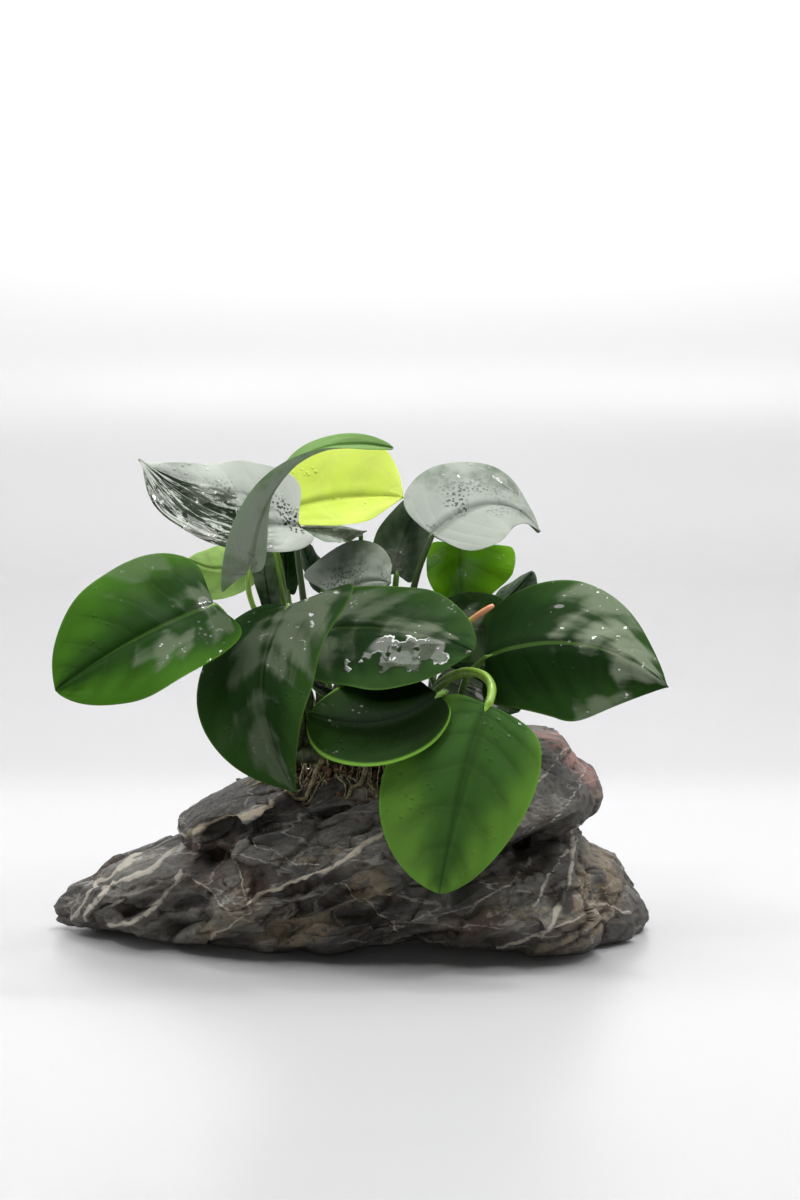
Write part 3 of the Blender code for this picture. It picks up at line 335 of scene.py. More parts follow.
LEAVES = {
    "left": Leaf(
        base=(-41, -39, 105), middle=(-62, -49, 97), tip=(-85, -52, 82.5), left=(-52, -58, 85),
        right=(-70, -37, 115.5), reach=(24, 12), lobes=(0.14, 0.1), root=(0.04, -14), arrive=0.6,
        point=1.3, green="mid", glow=0.16, wave=0.7, gloss=0.1, rib=0.2, quilt=0.25,
        water_and_painted_reflection=((0.14, 0.5, 0.09), (0.2, 0.1, 0.06)),
        sheen=((0.46, -0.4, 0.14, 0.45), (0.38, 0.85, 0.14, 0.28), (0.15, 0.15, 0.2, 0.35),
               (0.2, -0.5, 0.16, 0.3))),
    "front_left": Leaf(
        base=(-20, -33, 104), middle=(-27, -51, 82), tip=(-17, -60, 55), left=(-13, -53, 97),
        right=(-46, -42, 81), point=2.0, lobes=(0.3, -0.02), shoulder=0.6, root=(0.07, -46),
        arrive=0.7, curl=(-50, 0), wave=0.4, gloss=0.1, rib=0.1,
        sheen=((0.24, -0.4, 0.3, 0.38), (0.4, 0.3, 0.14, 0.22), (0.76, 0.15, 0.24, 0.24))),
    "middle": Leaf(
        base=(-12, -14, 94), middle=(11, -27, 96), tip=(33, -42, 92), left=(12, -9, 107),
        right=(0, -41, 81), point=1.35, root=(0.38, -34), arrive=0.6, quilt=0.5, gloss=0.1,
        rib=0.1, rim=0.35, veins=8,
        sheen=((0.64, -0.15, 0.16, 0.45), (0.22, 0.5, 0.2, 0.25), (0.3, -0.45, 0.26, 0.3)),
        water_and_painted_reflection=((0.67, 0.35, 0.2), (0.86, 0.2, 0.1), (0.5, 0.62, 0.1))),
    "small_middle": Leaf(
        base=(-7, 2, 101), middle=(1, 2, 106), tip=(9, -6, 107), left=(-5, 12, 117),
        right=(0, -2.5, 97), root=(0.4, 24), arrive=0.7, green="grey", film_and_painted_reflection=0.85, quilt=0.4,
        veins=6, speckle=0.8, gloss=0.3, water_and_painted_reflection=((0.5, 0.4, 0.12), (0.8, -0.3, 0.08))),
    "right": Leaf(
        base=(37, -22, 87), middle=(64, -34, 93), tip=(89, -38, 81), left=(60, -10, 109),
        right=(61, -40, 71.5), reach=(20, 12), shoulder=0.6, root=(0.93, -36), arrive=0.3,
        point=2.2, quilt=0.35, rib=0.4, gloss=0.05, rim=0.3,
        water_and_painted_reflection=((0.42, -0.58, 0.014),),
        sheen=((0.7, -0.35, 0.26, 0.7), (0.82, 0.1, 0.2, 0.7), (0.66, 0.95, 0.13, 0.5),
               (0.54, -0.85, 0.14, 0.5))),
    "hanging": Leaf(
        base=(37, -44, 77), middle=(30, -56, 58), tip=(23, -64, 27), left=(51, -54, 57),
        right=(7, -51, 58), root=(0.74, -38), arrive=0.0, lobes=(0.02, 0.08), reach=(34, 20),
        stalk=1.4, green="bright", glow=0.2, gloss=0.05, veins=8, rib=0.0, rim=0.4, stem="bright",
        quilt=0.55),
    # The cupped blade's dark greens are painted shade inside the cup, and its wide bright margin is
    # painted light along its rim
    "cupped": Leaf(
        base=(23, -45, 80), middle=(7, -49, 73), tip=(-14, -47, 75), left=(6, -54, 57.5),
        right=(5, -28, 86.5), lobes=(0.02, 0.06), shoulder=0.55, root=(0.56, -66), arrive=0.3,
        curl=(35, 0), green="dark", wave=0.2, rim=2.4, gloss=0.0, rib=0.0, quilt=0.1),
    "top_left": Leaf(
        base=(-18, -8, 124), middle=(-42, -17, 129.5), tip=(-64, -18, 145), left=(-45, -28, 122),
        right=(-30, -5, 142), point=2.4, root=(0.3, -4), arrive=0.9, reach=(20, 14), green="grey",
        film_and_painted_reflection=1.2, wave=0.9, gloss=0.2, speckle=1.0, rib=0.0, stem="dark", torn=1.0,
        water_and_painted_reflection=((0.55, 0.1, 0.16), (0.62, -0.75, 0.14), (0.4, -0.8, 0.1))),
    "arching": Leaf(
        base=(-31.5, -30, 113), middle=(-18.5, -34, 144), tip=(10, -30, 149),
        left=(-34.5, -40.5, 133), right=(-33, -26, 131.5), twist=110, lobes=(0.14, 0.02),
        shoulder=0.7, point=1.0, root=(0.25, -22), arrive=0.1, reach=(20, 16), stalk=0.9,
        green="bright", film_and_painted_reflection=1.0, glow=0.2, wave=0.2, rib=0.3, stem="bright", gloss=0.2),
    "yellow": Leaf(
        base=(-22, 12, 126.7), middle=(-5, 13, 130.2), tip=(13, 7, 131.2), left=(-5, 22, 148.5),
        right=(-3, 3, 123.3), root=(0.22, 30), arrive=0.3, reach=(24, 14), point=1.9, stalk=0.9,
        green="lime", glow=0.42, gloss=0.2, stem="bright", rib=0.3, quilt=0.1, veins=5),
    "top_right": Leaf(
        base=(21.5, -8, 121.5), middle=(39.5, 1, 129.5), tip=(54, 4, 121), left=(26, 12, 142),
        right=(38, -18, 121), point=2.2, shoulder=0.8, root=(0.64, 36), reach=(22, 18),
        lobes=(0, 0), green="grey", film_and_painted_reflection=0.97, speckle=0.8, rib=0.0, stem="dark", gloss=0.2,
        water_and_painted_reflection=((0.6, -0.75, 0.06),)),
    "back_left": Leaf(
        base=(-31, 18, 115), middle=(-42, 20, 108), tip=(-53, 20, 111), left=(-41, 16, 99),
        right=(-42, 26, 115), root=(0.1, 50), arrive=0.2, reach=(18, 14), green="fresh",
        glow=0.3, veins=6),
    "back_right": Leaf(
        base=(30, 14, 117), middle=(30, 8, 106), tip=(31, 8, 96), left=(47, 16, 114),
        right=(20, 14, 109), root=(0.79, 48), arrive=0.1, reach=(24, 14), green="olive", glow=0.4,
        veins=5, rib=0.0),
    "back_middle": Leaf(
        base=(11, 6, 108), middle=(14, 10, 121), tip=(21, 14, 133), left=(3, 8, 116),
        right=(20, 16, 115), root=(0.56, 40), arrive=0.1, reach=(20, 12), green="grey", film_and_painted_reflection=0.3),
    "back_tip": Leaf(
        base=(37, 24, 91), middle=(45, 22, 98), tip=(53, 20, 107), left=(42, 28, 99),
        right=(50, 18, 93), root=(0.94, 46), arrive=0.2, green="grey", film_and_painted_reflection=0.2),
    "behind_right": Leaf(
        base=(22, -2, 90), middle=(34, -4, 93), tip=(46, -7, 91), left=(35, 4, 103),
        right=(33, -11, 84), root=(0.7, 8), sheen=((0.5, -0.3, 0.18, 0.5),)),
    "low_right": Leaf(
        base=(26, 6, 80), middle=(37, 4, 75), tip=(48, 0, 67), left=(43, 10, 79),
        right=(30, -4, 70), root=(0.86, 6), arrive=0.2),
    "under_yellow": Leaf(
        base=(0, 14, 119.5), middle=(-9, 13, 120.5), tip=(-18, 8, 121.5), left=(-9, -2, 118.5),
        right=(-10, 26, 120.5), root=(0.46, 50), arrive=0.9, reach=(20, 12), stalk=0.8,
        green="grey", film_and_painted_reflection=0.6),
    "dark_back": Leaf(
        base=(-23, 28, 100), middle=(-23, 27, 110), tip=(-24, 24, 119), left=(-28, 30, 112),
        right=(-18, 26, 112), root=(0.28, 66), arrive=0.1),
    "pale_back": Leaf(
        base=(-12, 24, 101), middle=(-15, 24, 108), tip=(-18, 22, 116), left=(-18, 26, 107),
        right=(-12, 22, 110), root=(0.38, 62), arrive=0.1, stalk=0.8, green="grey", film_and_painted_reflection=0.3),
    "speckled": Leaf(
        base=(-26.5, 8, 96), middle=(-28.5, 10, 106), tip=(-30, 14, 116), left=(-33, 12, 107),
        right=(-25, 8, 108), root=(0.15, 12), arrive=0.1, stalk=0.8, film_and_painted_reflection=0.2, speckle=0.6),
    "furled": Leaf(
        base=(11, -19, 78), middle=(-2, -25, 76), tip=(-15, -30, 82), left=(0, -32, 71),
        right=(-3, -18, 77), root=(0.48, -40), arrive=0.4, curl=(50, 0), stalk=0.9, green="dark",
        rim=0.8),
}


# Surfaces

def unit(vectors):
    """Vectors scaled to length one, along the last axis."""
    vectors = np.asarray(vectors, dtype=float)
    return vectors / np.maximum(np.linalg.norm(vectors, axis=-1, keepdims=True), 1e-9)


def beside(*values):
    """Values set side by side along a new last axis, with single numbers repeated."""
    return np.stack(np.broadcast_arrays(*values), axis=-1)


def ramp(values, low, high):
    """0 at low, 1 at high, a smooth S between: t squared times three less two t."""
    t = np.clip((values - low) / (high - low), 0, 1)
    return t * t * (3 - 2 * t)


def scattered(cells, seed):
    """A fixed number from 0 to 1 for each row of whole numbers, mixed from their digits."""
    cells = cells.astype(np.int64)
    mixed = (cells[..., 0] * 73856093) ^ (cells[..., 1] * 19349663) ^ (cells[..., 2] * 83492791)
    mixed = (mixed ^ (seed * 2654435761)) & 0xFFFFFFFF
    mixed = ((mixed ^ (mixed >> 13)) * 1274126177) & 0xFFFFFFFF
    return ((mixed ^ (mixed >> 16)) & 0xFFFFFF) / 0xFFFFFF


def scattered_three(cells, seed):
    """Three such numbers for each row, from three seeds in turn."""
    return beside(*(scattered(cells, seed + i) for i in range(3)))


def noise(points, pitch, seed, octaves=1):
    """Smooth noise from -1 to 1: lattice values blended by S-curves.

    Each further octave has half the pitch and half the height.
    """
    total = np.zeros(points.shape[:-1])
    height = 1.0
    heights = 0.0
    for octave in range(octaves):
        place = points / (pitch / 2 ** octave)
        cell = np.floor(place)
        part = place - cell
        part = part * part * (3 - 2 * part)
        value = np.zeros(points.shape[:-1])
        for corner in range(8):
            offset = np.array([corner & 1, corner >> 1 & 1, corner >> 2 & 1])
            weight = np.where(offset == 1, part, 1 - part).prod(-1)
            value += weight * scattered(cell + offset, seed + 31 * octave)
        total += height * (2 * value - 1)
        heights += height
        height /= 2
    return total / heights


def ragged(points, pitch, reach, seed):
    """Points moved up to reach in each of the three directions by noise."""
    return points + reach * beside(*(noise(points, pitch, seed + i, 2) for i in range(3)))


def layer_axes(x, z):
    """How far places in the picture plane lie along the layers, and how far across them."""
    cosine, sine = math.cos(LEDGE_SLOPE), math.sin(LEDGE_SLOPE)
    return x * cosine + z * sine, z * cosine - x * sine


def to_layers(points, stretch):
    """Points in axes along, through and across the layers, the first divided by stretch."""
    cosine, sine = math.cos(LEDGE_SLOPE), math.sin(LEDGE_SLOPE)
    turn = np.array([[cosine / stretch, 0, sine / stretch], [0, 1, 0], [-sine, 0, cosine]])
    return points @ turn.T


def broken_faces(points, pitch, seed, stretch, steepness):
    """Flat broken faces: their height, a fixed number from 0 to 1 for each, and how near an edge is.

    One point is scattered in each cube of a lattice turned to the layers and stretched along them,
    and a place belongs to the nearest point in the 27 cubes round it. A face is a tilted plane: its
    own offset plus a tilt times the distance from its point. The edge is a bell of the difference
    between the distances to the nearest point and the second nearest.
    """
    flat = to_layers(ragged(points, pitch * 0.7, 0.1 * pitch, seed), stretch) / pitch
    cell = np.floor(flat)
    best, second = np.full(len(points), 1e9), np.full(len(points), 1e9)
    owner, middle = cell.copy(), cell.copy()
    for step in itertools.product((-1, 0, 1), repeat=3):
        cube = cell + step
        point = cube + scattered_three(cube, seed)
        gap = ((flat - point) ** 2).sum(-1)
        nearer = gap < best
        second = np.where(nearer, best, np.minimum(second, gap))
        best = np.where(nearer, gap, best)
        owner[nearer], middle[nearer] = cube[nearer], point[nearer]
    tilt = 2 * steepness * (scattered_three(owner, seed + 10) - 0.5)
    mark = scattered(owner, seed + 20)
    height = 2 * mark - 1 + pitch * ((flat - middle) * tilt).sum(-1)
    edge = np.exp(-((np.sqrt(second) - np.sqrt(best)) / 0.07) ** 2)
    return height, scattered(owner, seed + 30), edge


def line_distance(x, z, path):
    """Distance from points in the picture plane to a line of straight stretches."""
    best = np.full(x.shape, 1e9)
    for (start_x, start_z), (end_x, end_z) in zip(path, path[1:]):
        run_x, run_z = end_x - start_x, end_z - start_z
        share = np.clip(((x - start_x) * run_x + (z - start_z) * run_z) / (run_x ** 2 + run_z ** 2), 0, 1)
        best = np.minimum(best, np.hypot(x - start_x - share * run_x, z - start_z - share * run_z))
    return best


def bell(x, z, middle_x, middle_z, half_length, half_width):
    """A bell lying along the layers: e to the minus squares of its two distances over its halves."""
    along, across = layer_axes(x - middle_x, z - middle_z)
    return np.exp(-(along / half_length) ** 2 - (across / half_width) ** 2)


def ledges(x, y, z):
    """How far layers stand out: a slow rise and a quick drop, repeated along a tilted axis."""
    across = layer_axes(x, z)[1] + LEDGE_LEAN * y
    for height, turn_x, turn_y, start in LEDGE_WAVES:
        across = across + height * np.sin(turn_x * x + turn_y * y + start)
    turns = across / LEDGE_PITCH
    part = turns - np.floor(turns)
    rise = np.where(part < LEDGE_SHARE, part / LEDGE_SHARE, (1 - part) / (1 - LEDGE_SHARE))
    strength = 0.65 + 0.35 * np.sin(1.7 * np.floor(turns + (1 - LEDGE_SHARE)) + 0.045 * x)
    return LEDGE_DEPTH * strength * (rise - 0.5)


def depth_share(x):
    """How deep the stone is at a place along it, as a share of its greatest depth."""
    return np.interp(x, *np.array(DEPTH_ALONG).T)


def broken(x, y, z):
    """How far flat broken faces stand out: a place lies on the face whose middle is nearest.

    A face is its own height plus its slopes times the distances along and across the ledges. Across
    them distances count FACE_STRETCH times, and each face's weight falls with its squared distance,
    so two faces meet in a narrow blend. Slow waves bend the edges.
    """
    middle_x, side, middle_z, height, rise_along, rise_across = np.array(FACES, dtype=float).T
    size = np.where(side < 0, STONE_FRONT, STONE_BACK) * depth_share(middle_x)
    (wide, turn_x, turn_z), (high, twist_x, twist_z) = FACE_WAVES
    off_x = (x + wide * np.sin(turn_x * x + turn_z * z))[..., None] - middle_x
    off_y = y[..., None] - FACE_SIDE * side * size
    off_z = (z + high * np.sin(twist_x * x - twist_z * z))[..., None] - middle_z
    along, across = layer_axes(off_x, off_z)
    gap = along ** 2 + off_y ** 2 + (FACE_STRETCH * across) ** 2
    weight = np.exp(FACE_BLEND * (gap.min(axis=-1, keepdims=True) - gap))
    standing = FACE_HEIGHT * (height + rise_along * along + rise_across * across)
    return (weight * standing).sum(-1) / weight.sum(-1)


def stone_corners():
    """The outline's points from the stone's middle, and their angles."""
    offset = np.subtract(STONE_OUTLINE, STONE_MIDDLE)
    return offset, np.arctan2(offset[:, 1], offset[:, 0])


def stone_point(angle, share, front):
    """The stone's large shape, as in the solids: a share of the outline's radius at an angle.

    Depth follows a superellipse of the share, times how deep the stone is along x. Broken faces,
    ledges and, in front, bell-shaped relief stand out from it. Near the rim, faces that lie deeper
    than RIM_CUT also draw the outline in. What would lie below the resting face is laid flat on it.
    """
    offset, angles = stone_corners()
    order = np.argsort(angles)
    lengths = np.hypot(offset[:, 0], offset[:, 1])
    radius = np.interp(angle, angles[order], lengths[order], period=2 * math.pi)
    x = STONE_MIDDLE[0] + radius * share * np.cos(angle)
    z = STONE_MIDDLE[1] + radius * share * np.sin(angle)
    swell = np.maximum(1 - share ** STONE_ROUNDNESS, 0) ** (1 / STONE_ROUNDNESS)
    depth = depth_share(x) * swell
    edge = np.clip((1 - share) * 6, 0, 1)
    y = -STONE_FRONT * depth if front else STONE_BACK * depth
    out = broken(x, y, z)
    rim = np.clip((1 - share) * 25, 0, 1) * share ** 3 * np.minimum(out - RIM_CUT, 0)
    if front:
        relief = sum(deep * bell(x, z, *place) for *place, deep in FRONT_RELIEF)
        y = y - edge * (out + ledges(x, y, z) - relief)
    else:
        y = y + edge * (out + ledges(x + BACK_LEDGE_SHIFT, y, z))
    return beside(x + rim * np.cos(angle), y, np.maximum(z + rim * np.sin(angle), 0.0))


def stone_angles(count):
    """Angles round the stone: spread evenly along its outline, through every outline point."""
    offset, angles = stone_corners()
    order = np.argsort(angles)
    corners = offset[order]
    length = np.linalg.norm(np.roll(corners, -1, axis=0) - corners, axis=1)
    result = []
    for i in range(len(corners)):
        parts = max(1, round(count * length[i] / length.sum()))
        steps = np.arange(parts)[:, None] / parts
        between = corners[i] + (corners[(i + 1) % len(corners)] - corners[i]) * steps
        result.append(np.arctan2(between[:, 1], between[:, 0]))
    return np.concatenate(result)


def grid_normals(grid):
    """Directions square to a grid of rings: the cross product of the steps round and across it."""
    around = np.roll(grid, -1, axis=1) - np.roll(grid, 1, axis=1)
    across = np.gradient(grid, axis=0)
    return unit(np.cross(around, across))


def layer_steps(points, pitch, seed, drop):
    """Thin layers: a slow rise from -0.5 to 0.5 and a quick drop across them, bent by slow noise."""
    across = to_layers(points, 1.0)[:, 2] + LEDGE_LEAN * points[:, 1]
    across = across + 0.8 * pitch * noise(points, 26, seed, 2)
    part = across / pitch - np.floor(across / pitch)
    return np.where(part < 1 - drop, part / (1 - drop), (1 - part) / drop) - 0.5


def smoothed(grid, reach):
    """The mean of a grid over a square of places, the second axis going round."""
    wide = np.pad(grid, ((reach, reach), (0, 0)), mode="edge")
    wide = np.pad(wide, ((0, 0), (reach, reach)), mode="wrap")
    for axis in (0, 1):
        total = np.cumsum(wide, axis=axis)
        total = np.concatenate([np.zeros_like(total.take([0], axis=axis)), total], axis=axis)
        size = 2 * reach + 1
        wide = (total.take(range(size, total.shape[axis]), axis=axis)
                - total.take(range(total.shape[axis] - size), axis=axis)) / size
    return wide


def stone_surface(settings):
    """Rings of the stone with all its fine relief, and a value for each mark at each point.

    The large shape is pushed along its outward directions by broken faces of three sizes, thin
    layers, cracks where slow noise passes zero, rough noise, dents and raised veins. Nothing is
    pushed where the stone rests. Dents, veins, stains and places of painted shade are for the front
    only, and fade in over the stone's middle. The marks are the veins and how yellow they are,
    hollows and crests, which lie lower and higher than the mean round them and are given painted
    shade and painted light, a number for each face, and the stains and places of painted shade,
    which are sums of bells.
    """
    angle = stone_angles(STONE_ROUND)
    front = np.sin(np.arange(1, STONE_FRONT_RINGS + 1) / STONE_FRONT_RINGS * math.pi / 2)
    back = np.sin(np.arange(STONE_BACK_RINGS - 1, 0, -1) / STONE_BACK_RINGS * math.pi / 2)
    front = np.concatenate([[INNERMOST], front])
    back = np.concatenate([back, [INNERMOST]])
    rings = [stone_point(angle, np.full(len(angle), share), True) for share in front]
    rings += [stone_point(angle, np.full(len(angle), share), False) for share in back]
    grid = np.array(rings)
    outward = grid_normals(grid)
    if (outward[0] @ np.array([0.0, 1.0, 0.0])).mean() > 0:
        outward = -outward
    points = grid.reshape(-1, 3)
    z = points[:, 2]
    is_front = ramp(-points[:, 1], -4.0, 6.0)
    slab, slab_mark, slab_edge = broken_faces(points, *SLABS)
    block, block_mark, block_edge = broken_faces(points, *BLOCKS)
    chip, chip_mark, _ = broken_faces(points, *CHIPS)
    push = settings.breakage * (0.6 * slab + 0.24 * block + 0.08 * chip
                                - 0.3 * slab_edge - 0.1 * block_edge)
    patchy = ramp(noise(points, 18, 5), -0.4, 0.5)
    steps = sum(height * layer_steps(points, *kind) for height, kind in LAYERS)
    push += settings.layers * patchy * steps
    layered = to_layers(points, 2.8)
    crack = np.exp(-(noise(layered, 9, 31, 2) / 0.045) ** 2) * ramp(noise(points, 22, 33), -0.2, 0.3)
    push -= 0.6 * settings.breakage * crack
    push += settings.roughness * (0.12 * noise(points, 6, 21, 3) + 0.12 * noise(points, 1.6, 22, 2))
    mark_x, _, mark_z = ragged(points, 4, 0.9, 41).T
    dents = [deep * bell(mark_x, mark_z, *place) for *place, deep in DENTS]
    for dent in dents:
        push -= is_front * dent
    vein = np.zeros(len(points))
    yellow = np.zeros(len(points))
    uneven = 0.5 + 0.45 * noise(points, 5, 61, 2)
    for width, height, yellowness, path in PALE_VEINS:
        near = line_distance(mark_x, mark_z, path)
        mark = is_front * np.exp(-(near / (0.8 * width * uneven)) ** 2)
        vein = np.maximum(vein, mark)
        yellow = np.maximum(yellow, mark * yellowness)
        push += 0.6 * height * mark
        push -= 0.3 * height * is_front * np.exp(-((near - 1.5 * width) / (0.6 * width)) ** 2)
    local = push.reshape(grid.shape[:2])
    local = (0.6 * (local - smoothed(local, 5)) + 0.4 * (local - smoothed(local, 14))).ravel()
    push *= ramp(z, 0.3, 3.0)
    push = np.clip(push, -DEEPEST, HIGHEST)
    points = points + outward.reshape(-1, 3) * push[:, None]
    points[:, 2] = np.maximum(points[:, 2], 0.0)
    marks = {"vein": vein, "yellow": yellow,
             "hollow": np.clip(-local / 0.9, 0, 1) + np.clip(sum(dents) * is_front / 3.2, 0, 1),
             "crest": np.clip(local / 0.9, 0, 1),
             "face": 0.45 * slab_mark + 0.35 * block_mark + 0.2 * chip_mark}
    for name, places in STAINS_AND_PAINTED_SHADE.items():
        stain_and_painted_shade = sum(bell(mark_x, mark_z, *place) for place in places)
        marks[name] = is_front * np.clip(stain_and_painted_shade, 0, 1)
    return points.reshape(grid.shape), marks


def midrib(leaf, along):
    """Points and directions of the midrib: a parabola through base, middle and tip.

    Behind the base it runs on straight.
    """
    base, middle, tip = (np.array(p, dtype=float) for p in (leaf.base, leaf.middle, leaf.tip))
    bend = 2 * middle - (base + tip) / 2
    s = np.clip(along, 0, 1)[..., None]
    point = (1 - s) ** 2 * base + 2 * s * (1 - s) * bend + s ** 2 * tip
    ahead = 2 * (1 - s) * (bend - base) + 2 * s * (tip - bend)
    point = point + np.minimum(along, 0)[..., None] * 2 * (bend - base)
    return point, unit(ahead)


def carried(vector, before, after):
    """A vector turned as a direction turns from before to after, by the smallest turn."""
    total = before + after
    share = (total @ vector) / (1 + after @ before)
    return vector - total * share[..., None] + 2 * (before @ vector) * after


def blade_point(leaf, run, out, side):
    """A point of the blade's middle surface, its upward direction and its share of full width.

    run goes from 0 at the base to 1 at the tip along the margin, out from 0 on the midrib to 1 on
    the margin. The margin's distance along the midrib follows half a cosine wave, pulled back near
    the base to make the lobe. Its width is a power of a sine, skewed so that it is widest beside
    the leaf's left or right point, and the side is bent along an arc where the leaf curls.
    """
    turn = math.pi * run
    lobe = leaf.lobes[0] if side < 0 else leaf.lobes[1]
    margin = 0.5 - 0.5 * np.cos(turn) - lobe * np.sin(np.clip(turn / 0.42, 0, math.pi))
    vein = (0.5 - 0.5 * np.cos(turn)) ** 1.25
    middle, forward = (value[0] for value in midrib(leaf, np.array([WIDEST])))
    reach = np.subtract(leaf.left if side < 0 else leaf.right, middle)
    slip = reach @ forward
    reach = reach - slip * forward
    length = np.linalg.norm(np.subtract(leaf.tip, leaf.base, dtype=float))
    widest = np.clip(WIDEST + slip / length, 0.2, 0.8)
    skew = math.log(0.5) / math.log(math.acos(1 - 2 * widest) / math.pi)
    power = leaf.shoulder + (leaf.point - leaf.shoulder) * run
    width = np.sin(math.pi * run ** skew) ** power * out
    along = vein + (margin - vein) * out ** 1.3
    centre, ahead = midrib(leaf, along)
    spread = np.subtract(leaf.right, leaf.left, dtype=float)
    length = np.linalg.norm(reach)
    direction = unit(carried(reach, forward, ahead))
    up = unit(np.cross(unit(carried(spread, forward, ahead)), ahead))
    if leaf.twist:
        angle = math.radians(leaf.twist) * (along - WIDEST)
        turn_cos, turn_sin = np.cos(angle)[..., None], np.sin(angle)[..., None]
        direction, up = (direction * turn_cos + np.cross(ahead, direction) * turn_sin,
                         up * turn_cos + np.cross(ahead, up) * turn_sin)
    bend = math.radians(leaf.curl[0] if side < 0 else leaf.curl[1]) + 1e-6
    flat = length * width * np.sin(bend * width) / (bend * np.maximum(width, 1e-6))
    raised = length * width * (1 - np.cos(bend * width)) / (bend * np.maximum(width, 1e-6))
    return centre + direction * flat[..., None] + up * raised[..., None], up, width


def vein_phase(leaf, run, out):
    """Which side vein a place is at: whole numbers lie on veins, which sweep forward going out.

    run and out are arrays for the surface, or values of a finish.
    """
    return leaf.veins * (run - 0.13 * out ** 1.5)


def blade_relief(leaf, run, out, side, seed):
    """How far the blade's face rises, in millimetres.

    Fields between side veins puff up as the sine of the vein count to the power 0.7. The midrib is
    a groove, a bell across it, between two low swells, bells beside it. The margin waves, as two
    sines of run times out cubed, and slow and finer noise bend the whole blade. All of it fades
    towards base and tip.
    """
    ends = np.sin(math.pi * run)
    span = ends * np.clip(4 * out * (1 - out), 0, 1)
    fields = np.abs(np.sin(math.pi * vein_phase(leaf, run, out))) ** 0.7 - 0.6
    rise = 0.6 * leaf.quilt * fields * span ** 0.8
    rise -= 0.45 * np.exp(-(out / 0.05) ** 2) * ends ** 0.5
    rise += 0.22 * np.exp(-((out - 0.13) / 0.09) ** 2) * ends ** 0.5
    phase = seed * 1.7 + (2.1 if side > 0 else 0.0)
    waves = (np.sin(2 * math.pi * 2.3 * run + phase)
             + 0.6 * np.sin(2 * math.pi * 4.1 * run + 1.3 * phase))
    rise += leaf.wave * waves * out ** 3 * ends ** 0.6
    places = beside(run * 3.0, side * out * 1.5, seed * 7.3)
    rise += 0.7 * leaf.wave * noise(places, 1.0, seed) * span
    rise += 0.3 * noise(places * 2.6, 1.0, seed + 50, 2) * ends * (1 - out ** 4)
    return rise


def blade_surface(leaf, seed, thickness, rows=BLADE_ROWS, half=BLADE_COLUMNS):
    """Points, faces, texture places and under-side marks of a blade: two skins that meet in its margin.

    Half the thickness falls to nothing as the square root of one less out squared, and a bell below
    the midrib makes its keel. rows run from base to tip, and each side has half columns.
    """
    run = (np.arange(1, rows) / rows)[None, :]
    out = np.sin(np.arange(half + 1) / half * math.pi / 2) ** 1.15
    sides = []
    for side in (-1, 1):
        places = out[::-1] if side < 0 else out[1:]
        grid_run = np.broadcast_to(run, (len(places), rows - 1))
        grid_out = np.broadcast_to(places[:, None], grid_run.shape)
        point, up, _ = blade_point(leaf, grid_run, grid_out, side)
        rise = blade_relief(leaf, grid_run, grid_out, side, seed)
        sides.append((point + up * rise[..., None], up, side * grid_out, grid_run))
    point, up, out, run = (np.concatenate([a, b]) for a, b in zip(*sides))
    depth = thickness / 2 * np.sqrt(np.maximum(1 - out ** 2, 0))
    keel = 0.5 * np.exp(-(out / 0.045) ** 2) * np.sin(math.pi * run) ** 0.4
    upper = point + up * depth[..., None]
    lower = (point - up * (depth + keel)[..., None])[1:-1]
    columns, length = out.shape
    points = np.concatenate([upper.reshape(-1, 3), lower.reshape(-1, 3), [leaf.base, leaf.tip]])
    above = np.arange(columns * length).reshape(columns, length)
    below = above.copy()
    below[1:-1] = columns * length + np.arange((columns - 2) * length).reshape(-1, length)
    quads, triangles = [], []
    for skin, way in ((above, 1), (below, -1)):
        first = beside(skin[:-1, 0], len(points) - 2, skin[1:, 0])
        last = beside(skin[:-1, -1], skin[1:, -1], len(points) - 1)
        quads.append(sheet_faces(skin)[:, ::way])
        triangles += [first[:, ::way], last[:, ::way]]
    place = beside(run, 0.5 + 0.5 * out)
    places = np.concatenate([place.reshape(-1, 2), place[1:-1].reshape(-1, 2), [[0, 0.5], [1, 0.5]]])
    under = np.concatenate([np.zeros(columns * length), np.ones((columns - 2) * length), [0, 0]])
    return points, np.concatenate(quads), np.concatenate(triangles), places, under


def bezier(start, first, second, end, steps):
    """Points along a cubic Bezier curve."""
    t = np.linspace(0, 1, steps)[:, None]
    start, first, second, end = (np.asarray(p, dtype=float) for p in (start, first, second, end))
    return ((1 - t) ** 3 * start + 3 * (1 - t) ** 2 * t * first
            + 3 * (1 - t) * t ** 2 * second + t ** 3 * end)


def rhizome_centre(share):
    """Points of the rhizome's centre line: straight stretches, each the same share of the whole."""
    knots = np.array(RHIZOME_PATH, dtype=float)
    place = np.linspace(0, 1, len(knots))
    return beside(*(np.interp(share, place, knots[:, i]) for i in range(3)))


def rhizome_place(share, lean):
    """A point a little inside the rhizome's skin, and the direction that leads away from it there."""
    away = np.array([0.0, math.sin(math.radians(lean)), math.cos(math.radians(lean))])
    return rhizome_centre(share) + away * (RHIZOME_RADIUS * 0.8), away


